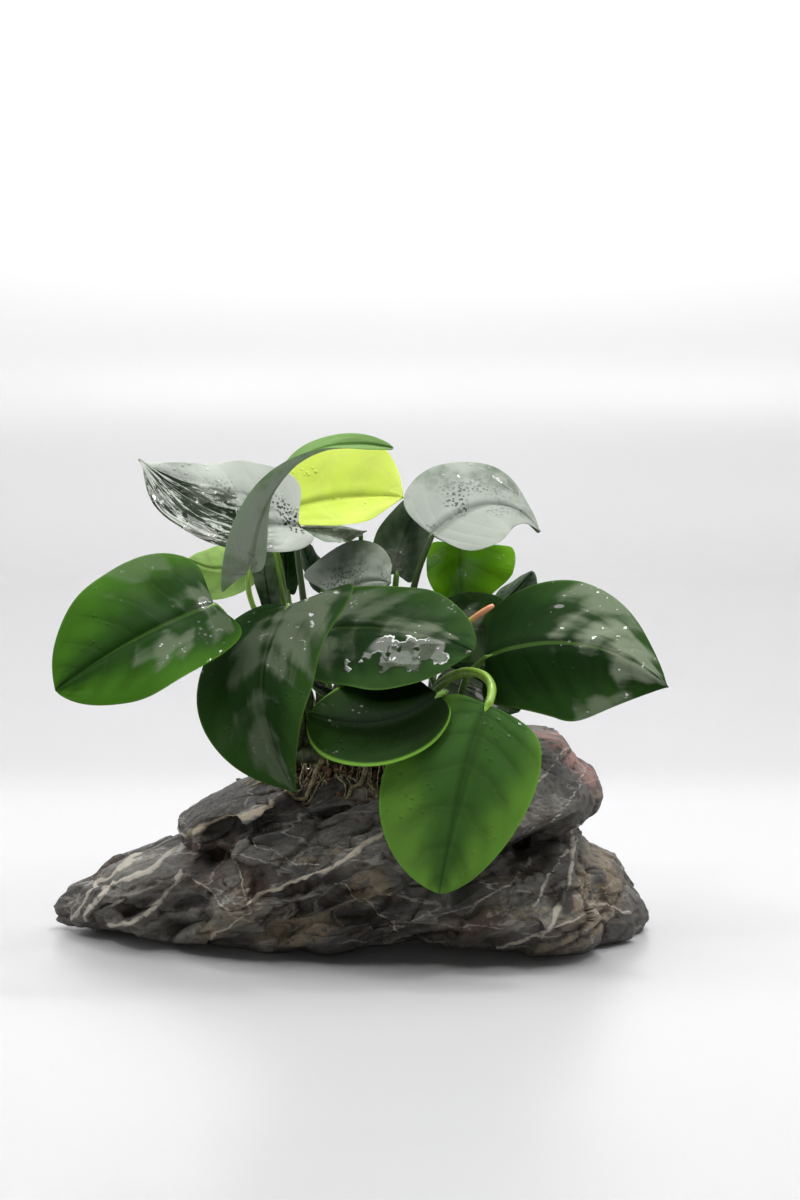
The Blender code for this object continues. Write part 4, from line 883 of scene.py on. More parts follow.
def tube_surface(path, radii, sides, wobble=None):
    """Points and faces of a closed tube: circles square to a path, with a point closing each end.

    The circles' first direction is carried along the path with as little turning as possible.
    wobble is a share of the radius for each ring and side.
    """
    path = np.asarray(path, dtype=float)
    tangent = unit(np.gradient(path, axis=0))
    side = unit(np.cross(tangent[0], (0.3, 0.9, 0.2)))
    first = []
    for ahead in tangent:
        side = unit(side - ahead * np.dot(side, ahead))
        first.append(side)
    first = np.array(first)
    second = np.cross(tangent, first)
    turn = np.arange(sides) / sides * 2 * math.pi
    reach = np.asarray(radii, dtype=float)[:, None] * (1 if wobble is None else wobble)
    reach = np.broadcast_to(reach, (len(path), sides))[..., None]
    grid = path[:, None] + reach * (np.cos(turn)[None, :, None] * first[:, None]
                                    + np.sin(turn)[None, :, None] * second[:, None])
    points = np.concatenate([grid.reshape(-1, 3), [path[0] - tangent[0] * radii[0] * 0.5],
                             [path[-1] + tangent[-1] * radii[-1] * 0.5]])
    return points, *ring_faces(len(path), sides)


# Meshes

def sheet_faces(index):
    """Quads between the points of a grid, given the grid of their numbers."""
    quads = beside(index[:-1, :-1], index[1:, :-1], index[1:, 1:], index[:-1, 1:])
    return quads.reshape(-1, 4)


def ring_faces(rings, around):
    """Quads between closed rings of points, and triangles to the two end points after them."""
    index = np.arange(rings * around).reshape(rings, around)
    nxt = np.roll(index, -1, axis=1)
    quads = beside(index[:-1], nxt[:-1], nxt[1:], index[1:])
    caps = np.concatenate([beside(nxt[0], index[0], index.size),
                           beside(index[-1], nxt[-1], index.size + 1)])
    return quads.reshape(-1, 4), caps


def tube_share(rings, sides):
    """How far along its tube each point is, from 0 to 1, with the two end points last."""
    return np.concatenate([np.repeat(np.linspace(0, 1, rings), sides), [0.0, 1.0]])


def make_piece(name, points, quads, triangles, places=None, values=None):
    """A smooth mesh object from points in millimetres, with an optional UV map and named values."""
    mesh = bpy.data.meshes.new(name)
    corners = np.concatenate([quads.ravel(), triangles.ravel()]).astype(np.int32)
    sizes = np.concatenate([np.full(len(quads), 4), np.full(len(triangles), 3)])
    starts = np.concatenate([[0], np.cumsum(sizes)[:-1]]).astype(np.int32)
    mesh.vertices.add(len(points))
    mesh.vertices.foreach_set("co", (points * MM).astype(np.float32).ravel())
    mesh.loops.add(len(corners))
    mesh.loops.foreach_set("vertex_index", corners)
    mesh.polygons.add(len(sizes))
    mesh.polygons.foreach_set("loop_start", starts)
    mesh.update(calc_edges=True)
    mesh.validate()
    if places is not None:
        layer = mesh.uv_layers.new(name="leaf")
        index = np.empty(len(mesh.loops), dtype=np.int32)
        mesh.loops.foreach_get("vertex_index", index)
        layer.uv.foreach_set("vector", places[index].astype(np.float32).ravel())
    for key, numbers in (values or {}).items():
        attribute = mesh.attributes.new(key, "FLOAT", "POINT")
        attribute.data.foreach_set("value", numbers.astype(np.float32))
    mesh.shade_smooth()
    piece = bpy.data.objects.new(name, mesh)
    bpy.context.scene.collection.objects.link(piece)
    return piece


def settle(piece, slot, material, *nodes):
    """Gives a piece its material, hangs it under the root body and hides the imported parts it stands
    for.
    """
    piece.data.materials.append(material)
    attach(piece, "root")
    if nodes:
        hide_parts(*nodes)
    return piece


def joined(name, parts):
    """One piece from several closed surfaces, each given as its points, quads and triangles."""
    points, quads, triangles = zip(*parts)
    starts = np.cumsum([0] + [len(part) for part in points[:-1]])
    return make_piece(name, np.concatenate(points),
                      np.concatenate([part + start for part, start in zip(quads, starts)]),
                      np.concatenate([part + start for part, start in zip(triangles, starts)]))


def stone_tree():
    """A search tree of the shown stone, to set things down on it."""
    stone = bpy.data.objects["stone_shown"]
    return BVHTree.FromObject(stone, bpy.context.evaluated_depsgraph_get())


def ground(tree, x, y):
    """Height of the shown stone under a place, in millimetres, or None beside it."""
    hit = tree.ray_cast(Vector((x * MM, y * MM, ABOVE_STONE)), Vector((0, 0, -1)))
    return None if hit[0] is None else hit[0].z / MM


# Materials

def tinted(colour, share):
    """A colour with each of its parts times a share."""
    return tuple(part * share for part in colour)


class Value:
    """A socket that takes part in sums, so a + b adds a Math node."""

    def __init__(self, finish, socket):
        self.finish = finish
        self.socket = socket

    def __add__(self, other):
        return self.finish.maths("ADD", self, other)

    def __sub__(self, other):
        return self.finish.maths("SUBTRACT", self, other)

    def __rsub__(self, other):
        return self.finish.maths("SUBTRACT", other, self)

    def __mul__(self, other):
        return self.finish.maths("MULTIPLY", self, other)

    def __truediv__(self, other):
        return self.finish.maths("DIVIDE", self, other)

    def __pow__(self, other):
        return self.finish.maths("POWER", self, other)

    __radd__ = __add__
    __rmul__ = __mul__


class Finish:
    """A material under construction: its nodes are made by node(), its sums by Value."""

    def __init__(self, name):
        self.material = bpy.data.materials.new(name)
        self.material.use_nodes = True
        self.tree = self.material.node_tree
        self.shader = self.tree.nodes["Principled BSDF"]
        self.output = self.tree.nodes["Material Output"]

    def node(self, kind, settings=None, sockets=None, output=0):
        """One node: its settings first, then values or links for its sockets; returns one output."""
        made = self.tree.nodes.new(kind)
        for key, value in (settings or {}).items():
            setattr(made, key, value)
        for key, value in (sockets or {}).items():
            self.feed(made.inputs[key], value)
        return Value(self, made.outputs[output])

    def feed(self, socket, value):
        """Links a value to a socket, or sets the socket to a number, colour or vector."""
        if isinstance(value, Value):
            self.tree.links.new(value.socket, socket)
        elif isinstance(value, tuple) and socket.type == "RGBA":
            socket.default_value = (*value, 1.0)
        else:
            socket.default_value = value

    def set(self, **sockets):
        """Sets or links the shader's own sockets, named with underscores for spaces."""
        for key, value in sockets.items():
            self.feed(self.shader.inputs[key.replace("_", " ")], value)

    def maths(self, operation, first, second=0.0):
        return self.node("ShaderNodeMath", {"operation": operation}, {0: first, 1: second})

    def larger(self, first, second):
        return self.maths("MAXIMUM", first, second)

    def step(self, value, low, high, start=0.0, end=1.0):
        """A smooth S from start at low to end at high."""
        sockets = {"Value": value, "From Min": low, "From Max": high, "To Min": start, "To Max": end}
        return self.node("ShaderNodeMapRange", {"interpolation_type": "SMOOTHSTEP"}, sockets)

    def mix(self, first, second, share):
        """A colour between two colours."""
        return self.node("ShaderNodeMix", {"data_type": "RGBA"}, {0: share, 6: first, 7: second}, 2)

    def painted(self, colour, *coats):
        """A colour under coats laid on in turn, each a colour and how much of it covers."""
        for coat, share in coats:
            colour = self.mix(colour, coat, share)
        return colour

    def value(self, name):
        """A value that the mesh holds at its points."""
        return self.node("ShaderNodeAttribute", {"attribute_name": name}, output=2)

    def part(self, vector, axis):
        """One of a vector's three parts."""
        return self.node("ShaderNodeSeparateXYZ", None, {0: vector}, axis)

    def vector(self, first, second):
        """A vector of two parts, for a pattern laid on a blade."""
        return self.node("ShaderNodeCombineXYZ", None, {0: first, 1: second})

    def place(self):
        """Object coordinates, in metres."""
        return self.node("ShaderNodeTexCoord", output=3)

    def turned(self, scale, angle=0.0):
        """Object coordinates scaled and turned about the Y axis."""
        return self.node("ShaderNodeMapping", {"vector_type": "POINT"},
                         {"Vector": self.place(), "Scale": scale, "Rotation": (0, angle, 0)})

    def cloud(self, scale, detail, rough=0.55, place=None, distortion=0.0):
        """Noise from 0 to 1."""
        return self.node("ShaderNodeTexNoise", None, {
            "Vector": place or self.place(), "Scale": scale, "Detail": detail, "Roughness": rough,
            "Distortion": distortion})

    def cells(self, scale, feature="F1", place=None):
        """Distance to the nearest scattered point, or to the edge of its cell."""
        return self.node("ShaderNodeTexVoronoi", {"feature": feature},
                         {"Vector": place or self.place(), "Scale": scale})

    def bump(self, height, distance, strength):
        """A Bump node for a height whose whole range stands for a distance in metres."""
        return self.node("ShaderNodeBump", None,
                         {"Height": height, "Distance": distance, "Strength": strength})

    def away(self, first, second):
        """The length of a step given by its two parts."""
        return (first * first + second * second) ** 0.5

    def let_light_through(self, colour, share):
        """Mixes a translucent shader of one colour with the main one."""
        through = self.node("ShaderNodeBsdfTranslucent", None, {"Color": colour})
        skin = Value(self, self.shader.outputs[0])
        both = self.node("ShaderNodeMixShader", None, {0: share, 1: skin, 2: through})
        self.tree.links.new(both.socket, self.output.inputs["Surface"])


def leaf_water(finish, leaf, run, across, near):
    """How much soft sheen, standing water, and shore of that water is on a blade, each from 0 to 1.

    Sheen and water end at a distance from their places, over their size, which clouds make ragged.
    More of both lies where the first cloud passes a height that falls as the leaf's gloss rises.
    The water has dry holes where another cloud is high, and its shore is a narrow line round them.
    The sheen is painted reflection, the water carries a painted grey reflection as well as real
    gloss, and the shore carries painted glints.
    """
    sheet = finish.cloud(34, 3, 0.55, None, 0.8)
    brushed = finish.cloud(1.0, 2, 0.5, finish.vector(run * 4.0, across * 5.0))
    ragged_by = (sheet - 0.5) * 1.1 + (near - 0.25) * 0.9 + (brushed - 0.5) * 1.4
    spread = 0.24 * leaf.gloss
    wet_and_painted_sheen = finish.step(sheet, 0.6 - spread, 0.72 - spread) * (0.6 * leaf.gloss)
    for middle_run, middle_out, size, strength in leaf.sheen:
        away = finish.away(run - middle_run, (across - middle_out) * 0.5)
        wet_and_painted_sheen = finish.larger(wet_and_painted_sheen, finish.step(away / size + ragged_by, 1.1, 0.4, 0.0, strength))
    water_and_painted_reflection = 0.0
    if leaf.gloss > 0.1:
        water_and_painted_reflection = finish.step(sheet, 0.7 - 0.22 * leaf.gloss, 0.715 - 0.22 * leaf.gloss)
    pool = 0.0
    for middle_run, middle_out, size in leaf.water_and_painted_reflection:
        away = finish.away(run - middle_run, (across - middle_out) * 0.5)
        pool = finish.larger(pool, finish.step(away / size + (sheet - 0.5) * 2.4, 1.05, 0.9))
    dry = finish.cloud(95, 3, 0.5)
    water_and_painted_reflection = finish.larger(water_and_painted_reflection, pool * finish.step(dry, 0.545, 0.525))
    shore = pool * finish.step(finish.maths("ABSOLUTE", dry - 0.537), 0.013, 0.005)
    return wet_and_painted_sheen, water_and_painted_reflection, shore


def blade_finish(name, leaf, settings):
    """Leaf skin: mottled green, side veins, a light margin, a pale coat, grit, tears, painted sheen and
    water.

    Side veins lie where the vein count is a whole number, and the midrib where across is 0. The pale
    coat is partly painted reflection, standing water is painted with a grey reflection, and painted
    glints lie on the ripples of the water, along its shore and here and there in the sheen. Drops of
    water are scattered over the upper side. The under side is paler and dry.
    """
    shade, light, edge, through = GREENS[leaf.green]
    finish = Finish(f"{name}_skin")
    place = finish.node("ShaderNodeUVMap", {"uv_map": "leaf"})
    run = finish.part(place, 0)
    across = finish.part(place, 1) * 2.0 - 1.0
    out = finish.maths("ABSOLUTE", across)
    under = finish.value("under")
    mottle = finish.cloud(75, 5, 0.62)
    slow = finish.cloud(26, 2, 0.5)
    fine = finish.cloud(900, 3, 0.6)
    phase = vein_phase(leaf, run, out) + (finish.cloud(180, 2) - 0.5) * 0.5
    near = finish.maths("PINGPONG", phase, 0.5)
    side_vein = finish.step(near, 0.1, 0.02) * finish.step(out, 0.95, 0.5)
    wide_vein = finish.step(near, 0.42, 0.05) * finish.step(out, 1.0, 0.55)
    from_rib = out / finish.step(run, 0.0, 1.0, 0.045, 0.01)
    rib = finish.step(from_rib, 1.25, 0.6)
    rib_halo = finish.step(from_rib, 4.5, 1.0)
    margin = finish.step(out, 0.972 - 0.05 * leaf.rim, 0.995)
    outer = finish.step(out * 0.6 + run * 0.5 + (slow - 0.5) * 0.6, 0.3, 0.95)
    colour = finish.painted(
        finish.mix(shade, light, finish.step(mottle * 0.45 + outer * 0.75, 0.3, 0.95)),
        (tinted(shade, 0.55), wide_vein * min(0.42, 0.14 + 0.56 * leaf.quilt)),
        (light, side_vein * 0.06),
        (tinted(shade, 0.4), rib_halo * 0.55),
        (edge, finish.larger(rib * leaf.rib, margin * (0.35 + 0.65 * leaf.rim))))
    # A pale coat on the blade: partly a real coat, partly painted reflection of the bright surroundings
    if leaf.film_and_painted_reflection > 0:
        film_and_painted_reflection = finish.step(finish.cloud(45, 5, 0.65), 0.62 - 0.4 * leaf.film_and_painted_reflection, 0.85 - 0.35 * leaf.film_and_painted_reflection)
        film_and_painted_reflection = film_and_painted_reflection * (0.7 * leaf.film_and_painted_reflection) * (1 - rib_halo * 0.4)
        colour = finish.mix(colour, tinted(FILM_AND_PAINTED_REFLECTION, max(1.0, leaf.film_and_painted_reflection)), film_and_painted_reflection)
    if leaf.speckle > 0:
        grit = finish.step(finish.cells(1000), 0.5, 0.36) * finish.step(finish.cloud(62, 4), 0.48, 0.56)
        grit = grit * finish.step(out, 0.8, 0.25) * finish.step(run, 0.75, 0.4)
        colour = finish.mix(colour, GRIT, grit * leaf.speckle)
    if leaf.torn > 0:
        lengthwise = finish.vector(run * 9.0, across * 9.0)
        torn = finish.step(finish.cloud(1.0, 6, 0.72, lengthwise, 0.6), 0.46, 0.5)
        torn = torn * finish.step(across, 0.55, 0.3) * finish.step(run, 0.28, 0.4) * leaf.torn
        colour = finish.mix(colour, TEAR, torn * finish.step(run, 0.9, 0.78))
    wet_and_painted_sheen, water_and_painted_reflection, shore = leaf_water(finish, leaf, run, across, near)
    upper = 1 - under
    wet_and_painted_sheen, water_and_painted_reflection = wet_and_painted_sheen * upper, water_and_painted_reflection * upper
    drop = finish.step(finish.cells(430), 0.3, 0.1) * finish.step(finish.cloud(60, 3), 0.5, 0.6) * upper
    ripple = finish.cloud(420, 3, 0.55)
    shining = finish.larger(water_and_painted_reflection, finish.step(wet_and_painted_sheen, 0.2, 0.5)) * finish.step(ripple, 0.65, 0.69)
    glint = finish.larger(shore * finish.step(finish.cloud(60, 2), 0.46, 0.52), shining) * upper
    # Painted over the upper side: sheen as painted reflection, the painted grey reflection of standing
    # water, and painted glints; the under side is paler
    colour = finish.painted(
        colour, (tuple(0.6 * a + 0.4 * b for a, b in zip(light, edge)), under * 0.75),
        (SHEEN, wet_and_painted_sheen * 0.85), (PAINTED_WATER_REFLECTION, water_and_painted_reflection * 0.4), (GLINT, glint * 0.8))
    height = side_vein * -0.2 + fine * 0.12 + finish.cells(1400) * 0.1 - rib * 0.3 + drop * 1.2
    height = height + water_and_painted_reflection * (0.5 + ripple * 4.0)
    finish.set(Base_Color=colour, Roughness=finish.step(fine, 0.2, 0.8, 0.48, 0.6) - wet_and_painted_sheen * 0.2,
               Normal=finish.bump(height, 0.0003, 0.7),
               Coat_Weight=finish.larger(water_and_painted_reflection * 0.7, drop * 0.9))
    finish.set(Coat_Roughness=0.04, Coat_IOR=1.5, IOR=1.45, Specular_IOR_Level=0.05)
    glow = leaf.glow * settings.glow
    finish.let_light_through(through, glow * (1 - rib * 0.6) * (1 - wide_vein * 0.35))
    return finish.material


def stalk_finish(name, foot, top):
    """Smooth stalk skin: one colour at the foot, another near the blade, with fine upright streaks."""
    finish = Finish(name)
    streak = finish.cloud(260, 3, 0.6, finish.turned((1, 1, 0.12)))
    skin = finish.mix(foot, top, finish.step(finish.value("along"), 0.1, 0.7))
    skin = finish.mix(skin, tinted(foot, 0.5), finish.step(streak, 0.5, 0.75) * 0.5)
    finish.set(Base_Color=skin, Roughness=finish.step(streak, 0.3, 0.7, 0.22, 0.4),
               Normal=finish.bump(streak, 0.0002, 0.5))
    finish.set(Coat_Weight=0.4, Coat_Roughness=0.08, IOR=1.42)
    finish.let_light_through(top, 0.15)
    return finish.material


def bark_finish(name, colour, dark, scale):
    """Skin of the rhizome, roots, sheaths or crumbs: mottled, darker in its dips."""
    finish = Finish(name)
    blotch = finish.cloud(scale, 5, 0.65)
    skin = finish.mix(dark, colour, finish.step(blotch, 0.38, 0.62))
    finish.set(Base_Color=skin, Roughness=finish.step(blotch, 0.3, 0.7, 0.7, 0.42),
               Normal=finish.bump(blotch + finish.cells(scale * 2.5) * 0.4, 0.0004, 0.8))
    return finish.material


def stone_finish(settings):
    """Damp limestone: each broken face its own grey, with what lies on it and painted light and shade
    laid over in turn.

    Light streaks, crests in painted light, dark grains, tan and rust stains, places of painted shade,
    pink stains, veins with fine threads beside them, hollows with brown dirt and painted shade, and
    near-black dirt with the painted shade of deep recesses follow each other. The threads are the
    edges of the cells of a web bent by a cloud. Patterns lie along the layers, turned by their slope.
    """
    finish = Finish("layered_stone")
    layered = finish.turned((0.45, 0.9, 2.0), -LEDGE_SLOPE)
    broad = finish.cloud(26, 4, 0.6, layered)
    grain = finish.cloud(520, 6, 0.75)
    streak = finish.cloud(85, 6, 0.66, layered, 0.8)
    blotch = finish.cloud(150, 6, 0.72)
    warp = finish.node("ShaderNodeTexNoise", None, {"Vector": layered, "Scale": 70.0, "Detail": 5.0}, 1)
    warped = finish.node("ShaderNodeVectorMath", {"operation": "MULTIPLY_ADD"},
                         {0: warp, 1: (0.03, 0.03, 0.03), 2: layered})
    web = finish.cells(42, "DISTANCE_TO_EDGE", warped)
    grey = tuple(settings.grey)
    dark, pale = tinted(grey, 0.36), tinted(grey, 2.4)
    tone = (finish.value("face") * 0.5 + broad * 0.5
            + finish.step(finish.part(finish.place(), 0), -0.04, -0.08) * 0.08)
    rust = finish.larger(
        finish.value("rust") * finish.step(blotch, 0.34, 0.5),
        finish.step(finish.cloud(34, 4, 0.6), 0.56, 0.68) * finish.step(grain, 0.4, 0.6) * 0.7)
    tan = finish.larger(
        finish.value("tan") * finish.step(blotch, 0.38, 0.52),
        finish.step(finish.cloud(40, 6, 0.7, layered), 0.55, 0.66) * finish.step(grain, 0.6, 0.4))
    pink = (finish.step(finish.value("pink"), 0.15, 0.6)
            * finish.step(blotch * 0.5 + grain * 0.5, 0.45, 0.54))
    thread = finish.step(web, 0.03, 0.004) * finish.step(finish.cloud(44, 3), 0.44, 0.56)
    vein = finish.value("vein") * finish.step(grain * 0.5 + streak * 0.5, 0.34, 0.54, 0.35, 1.0)
    vein = finish.larger(finish.step(vein, 0.25, 0.65), thread * 0.5)
    hollow = finish.value("hollow")
    soil_and_painted_shade = finish.step(finish.value("soil_and_painted_shade") + (blotch - 0.5) * 1.2, 0.3, 0.55)
    colour = finish.painted(
        finish.mix(dark, grey, finish.step(tone, 0.32, 0.48)),
        (pale, finish.step(tone + (streak - 0.5) * 0.5, 0.44, 0.72) * 0.9),
        # Paler crests: painted light on the ridges of the relief
        (pale, finish.step(finish.value("crest") * (0.5 + streak), 0.15, 0.7) * 0.4),
        (dark, finish.step(grain, 0.52, 0.66) * 0.55),
        (TAN, finish.step(tan, 0.1, 0.8) * 0.75),
        (RUST, finish.step(rust, 0.1, 0.7) * 0.85),
        (tinted(grey, 0.5), finish.step(finish.value("shade"), 0.1, 0.6) * 0.8),
        (PINK, pink * 0.9),
        (finish.mix(PALE_VEIN, YELLOW_VEIN, finish.value("yellow")), vein * 0.85),
        # Hollows and dents: brown dirt and painted shade
        (HOLLOW_DIRT_AND_PAINTED_SHADE, finish.step(hollow, 0.1, 0.5) * 0.45),
        # Deep hollows and the near-black dirt places: dirt and the painted shade of deep recesses
        (SOIL_AND_PAINTED_SHADE, finish.larger(finish.step(hollow, 0.35, 1.1), soil_and_painted_shade) * 0.88))
    height = streak * 0.25 + grain * 0.4 + finish.cells(260) * 0.15 + vein * 0.12
    finish.set(Base_Color=colour, Roughness=finish.step(grain, 0.3, 0.7, 0.45, 0.8),
               Normal=finish.bump(height, 0.001, 0.85))
    return finish.material


def floor_finish(colour):
    """Pale studio paper: darker from a little behind the object to the bend, lightest on the wall.

    Its tones follow how far back plus how high a place is: the darker bands towards the bend are painted
    shade, and the lightest band high on the wall is painted light.
    """
    finish = Finish("studio_paper")
    along = finish.part(finish.place(), 1) + finish.part(finish.place(), 2)
    coats = [(tinted(colour, share), finish.step(along, start, full))
             for start, full, share in PAPER_PAINTED_SHADE_AND_LIGHT]
    finish.set(Base_Color=finish.painted(colour, *coats),
               Roughness=finish.step(finish.cloud(3, 2), 0.3, 0.7, 0.28, 0.34))
    finish.set(Specular_IOR_Level=0.4)
    return finish.material


# Settings and operators

COLOUR = {"subtype": "COLOR", "size": 3, "min": 0.0, "max": 1.0}


class StoneSettings(bpy.types.PropertyGroup):
    """How rough and how grey the stone is."""
    layers: bpy.props.FloatProperty(
        name="Layers", description="Strength of the thin layers", default=0.8, min=0.0, max=3.0)
    breakage: bpy.props.FloatProperty(
        name="Breakage", description="Strength of the flat broken faces", default=0.9, min=0.0, max=3.0)
    roughness: bpy.props.FloatProperty(
        name="Roughness", description="Strength of the fine unevenness", default=0.8, min=0.0, max=3.0)
    grey: bpy.props.FloatVectorProperty(
        name="Grey", description="Main colour of the stone", default=(0.056, 0.053, 0.0465), **COLOUR)


class PlantSettings(bpy.types.PropertyGroup):
    """Sizes and colours of the plant."""
    thickness: bpy.props.FloatProperty(
        name="Blade thickness", description="Thickness of a blade at its midrib", default=0.0008,
        unit="LENGTH", min=0.0003, max=0.002)
    glow: bpy.props.FloatProperty(
        name="Glow", description="How much light comes through the blades", default=1.0, min=0.0, max=1.5)
    stalk: bpy.props.FloatVectorProperty(
        name="Stalk", description="Colour of a stalk near the rhizome", default=(0.045, 0.08, 0.018),
        **COLOUR)
    stalk_tip: bpy.props.FloatVectorProperty(
        name="Stalk top", description="Colour of a stalk near its blade", default=(0.13, 0.26, 0.035),
        **COLOUR)
    root: bpy.props.FloatVectorProperty(
        name="Root", description="Colour of the roots", default=(0.3, 0.25, 0.13), **COLOUR)
    fine_roots: bpy.props.IntProperty(
        name="Fine roots", description="Number of hair-thin roots", default=130, min=0, max=400)


class StageSettings(bpy.types.PropertyGroup):
    """The plain stage, its light and the camera."""
    distance: bpy.props.FloatProperty(
        name="Camera distance", description="From the camera to the plant's middle", default=0.8,
        unit="LENGTH", min=0.2, max=5.0)
    tilt: bpy.props.FloatProperty(
        name="Camera tilt", description="How far the camera looks down", default=math.radians(8),
        subtype="ANGLE", min=0.0, max=1.5)
    light: bpy.props.FloatProperty(
        name="Light", description="Strength of the lamps", default=1.0, min=0.0, max=10.0)
    floor: bpy.props.FloatVectorProperty(
        name="Floor", description="Colour of the floor", default=(0.433, 0.431, 0.437), **COLOUR)


class ANUBIAS_OT_stone(bpy.types.Operator):
    """Builds the layered stone"""
    bl_idname = "anubias.stone"
    bl_label = "Stone"

    def execute(self, context):
        settings = context.scene.anubias_stone
        grid, marks = stone_surface(settings)
        quads, caps = ring_faces(*grid.shape[:2])
        points = np.concatenate([grid.reshape(-1, 3), [grid[0].mean(0), grid[-1].mean(0)]])
        marks = {key: np.concatenate([numbers, numbers[[0, -1]]]) for key, numbers in marks.items()}
        piece = make_piece("stone_shown", points, quads[:, [1, 0, 3, 2]], caps[:, ::-1], values=marks)
        piece.data.set_sharp_from_angle(angle=math.radians(30))
        settle(piece, "stone", stone_finish(settings), "stone")
        return {"FINISHED"}


class ANUBIAS_OT_rhizome(bpy.types.Operator):
    """Builds the creeping rhizome with its old leaf rings"""
    bl_idname = "anubias.rhizome"
    bl_label = "Rhizome"

    def execute(self, context):
        share = np.linspace(0, 1, RHIZOME_RINGS)
        path = rhizome_centre(share)
        path[:, 1] += 0.5 * np.sin(share * 23)
        taper = np.clip(np.minimum(share + 0.08, 1.12 - share) * 5, 0.45, 1.0)
        scar = share * LEAF_SCARS
        part = scar - np.floor(scar)
        steps = 0.97 + 0.06 * ramp(part, 0.1, 0.9) - 0.05 * ramp(part, 0.93, 1.0)
        turn = np.arange(RHIZOME_SIDES) / RHIZOME_SIDES * 2 * math.pi
        places = beside(share[:, None] * 20, np.cos(turn), np.sin(turn))
        knobs = 1 + 0.07 * noise(places, 0.8, 4, 2)
        skin = bark_finish("sheath_skin", (0.055, 0.075, 0.018), (0.014, 0.014, 0.006), 500)
        settle(sheaths(), "rhizome", skin)
        skin = bark_finish("rhizome_skin", (0.075, 0.1, 0.025), (0.02, 0.018, 0.009), 330)
        tube = tube_surface(path, RHIZOME_RADIUS * taper * steps, RHIZOME_SIDES, knobs)
        settle(make_piece("rhizome_shown", *tube), "rhizome", skin, "rhizome")
        return {"FINISHED"}


class ANUBIAS_OT_leaves(bpy.types.Operator):
    """Builds all blades and their stalks"""
    bl_idname = "anubias.leaves"
    bl_label = "Leaves"

    def execute(self, context):
        settings = context.scene.anubias_plant
        foot, top = tuple(settings.stalk), tuple(settings.stalk_tip)
        skins = {"green": stalk_finish("stalk_skin", foot, top),
                 "bright": stalk_finish("bright_stalk_skin", tinted(foot, 1.8), BRIGHT_STALK),
                 "dark": stalk_finish("dark_stalk_skin", tinted(foot, 0.6), foot)}
        for number, (name, leaf) in enumerate(LEAVES.items(), 1):
            *surface, under = blade_surface(leaf, number, settings.thickness / MM)
            blade = make_piece(f"blade_{name}_shown", *surface, {"under": under})
            slot = frame_slot(f"blade_{name}")
            settle(blade, slot, blade_finish(f"blade_{name}", leaf, settings), f"blade_{name}")
            tube = stalk_surface(leaf, number)
            along = tube_share((len(tube[0]) - 2) // STALK_SIDES, STALK_SIDES)
            stalk = make_piece(f"stalk_{name}_shown", *tube, values={"along": along})
            settle(stalk, "stalk", skins[leaf.stem], f"stalk_{name}")
        return {"FINISHED"}


def frame_slot(node):
    """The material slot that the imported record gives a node."""
    for part in frame["record"]["subparts"]:
        if part["node"] == node:
            return part["material_slot"]
    raise KeyError(node)


def stalk_surface(leaf, seed):
    """A stalk's tube: a Bezier curve off the rhizome, with a flared foot, run on into the midrib.

    Sines of the share of its length sway it, and they make its three flutes and its faint rings.
    """
    start, away = rhizome_place(*leaf.root)
    ahead = midrib(leaf, np.array([0.0]))[1]
    up = blade_point(leaf, np.array([0.2]), np.array([0.0]), 1)[1]
    last = unit(ahead[0] * (1 - leaf.arrive) + up[0] * leaf.arrive)
    before = np.subtract(leaf.base, last * leaf.reach[1])
    path = bezier(start, start + away * leaf.reach[0], before, leaf.base, STALK_RINGS)
    along = np.array([0.012, 0.03, 0.05, 0.075])
    rib = midrib(leaf, along)[0]
    path = np.concatenate([path, rib - up[0] * (0.45 + 4 * along[:, None])])
    share = np.linspace(0, 1, len(path))
    sway = 0.35 * np.sin(share * 9 + seed)[:, None] * np.sin(math.pi * share)[:, None]
    path = path + sway * np.array([1.0, 0.6, 0.0])
    radii = STALK_RADIUS * leaf.stalk * (1.05 - 0.3 * share + 0.55 * np.exp(-share / 0.035))
    radii[-len(along):] *= np.array([0.95, 0.85, 0.7, 0.4])
    turn = np.arange(STALK_SIDES) / STALK_SIDES * 2 * math.pi
    flute = 1 + 0.05 * np.cos(3 * turn)[None, :] + 0.03 * np.sin(share * 40)[:, None]
    return tube_surface(path, radii, STALK_SIDES, flute)


class ANUBIAS_OT_cut_stalk(bpy.types.Operator):
    """Builds the stalk of the leaf that was cut off, with its reddened end"""
    bl_idname = "anubias.cut_stalk"
    bl_label = "Cut stalk"

    def execute(self, context):
        start, away = rhizome_place(*STUB_ROOT)
        path = bezier(start, start + away * 10, STUB_BEND, STUB_END, CUT_STALK_RINGS)
        share = np.linspace(0, 1, CUT_STALK_RINGS)
        radii = STALK_RADIUS * 0.9 * (1.0 - 0.12 * share + 0.5 * np.exp(-share / 0.04))
        radii[-2:] *= np.array([0.9, 0.7])
        piece = make_piece("cut_stalk_shown", *tube_surface(path, radii, CUT_STALK_SIDES),
                           values={"along": tube_share(CUT_STALK_RINGS, CUT_STALK_SIDES)})
        finish = Finish("cut_stalk_skin")
        streak = finish.cloud(300, 3)
        along = finish.value("along") + (streak - 0.5) * 0.06
        skin = finish.mix((0.05, 0.09, 0.015), (0.4, 0.52, 0.07), finish.step(along, 0.45, 0.75))
        skin = finish.mix(skin, (0.62, 0.27, 0.12), finish.step(along, 0.86, 0.93))
        finish.set(Base_Color=skin, Roughness=finish.step(streak, 0.3, 0.7, 0.25, 0.45),
                   Normal=finish.bump(streak, 0.0002, 0.5))
        finish.set(Coat_Weight=0.3)
        settle(piece, "stalk", finish.material, "cut_stalk")
        return {"FINISHED"}


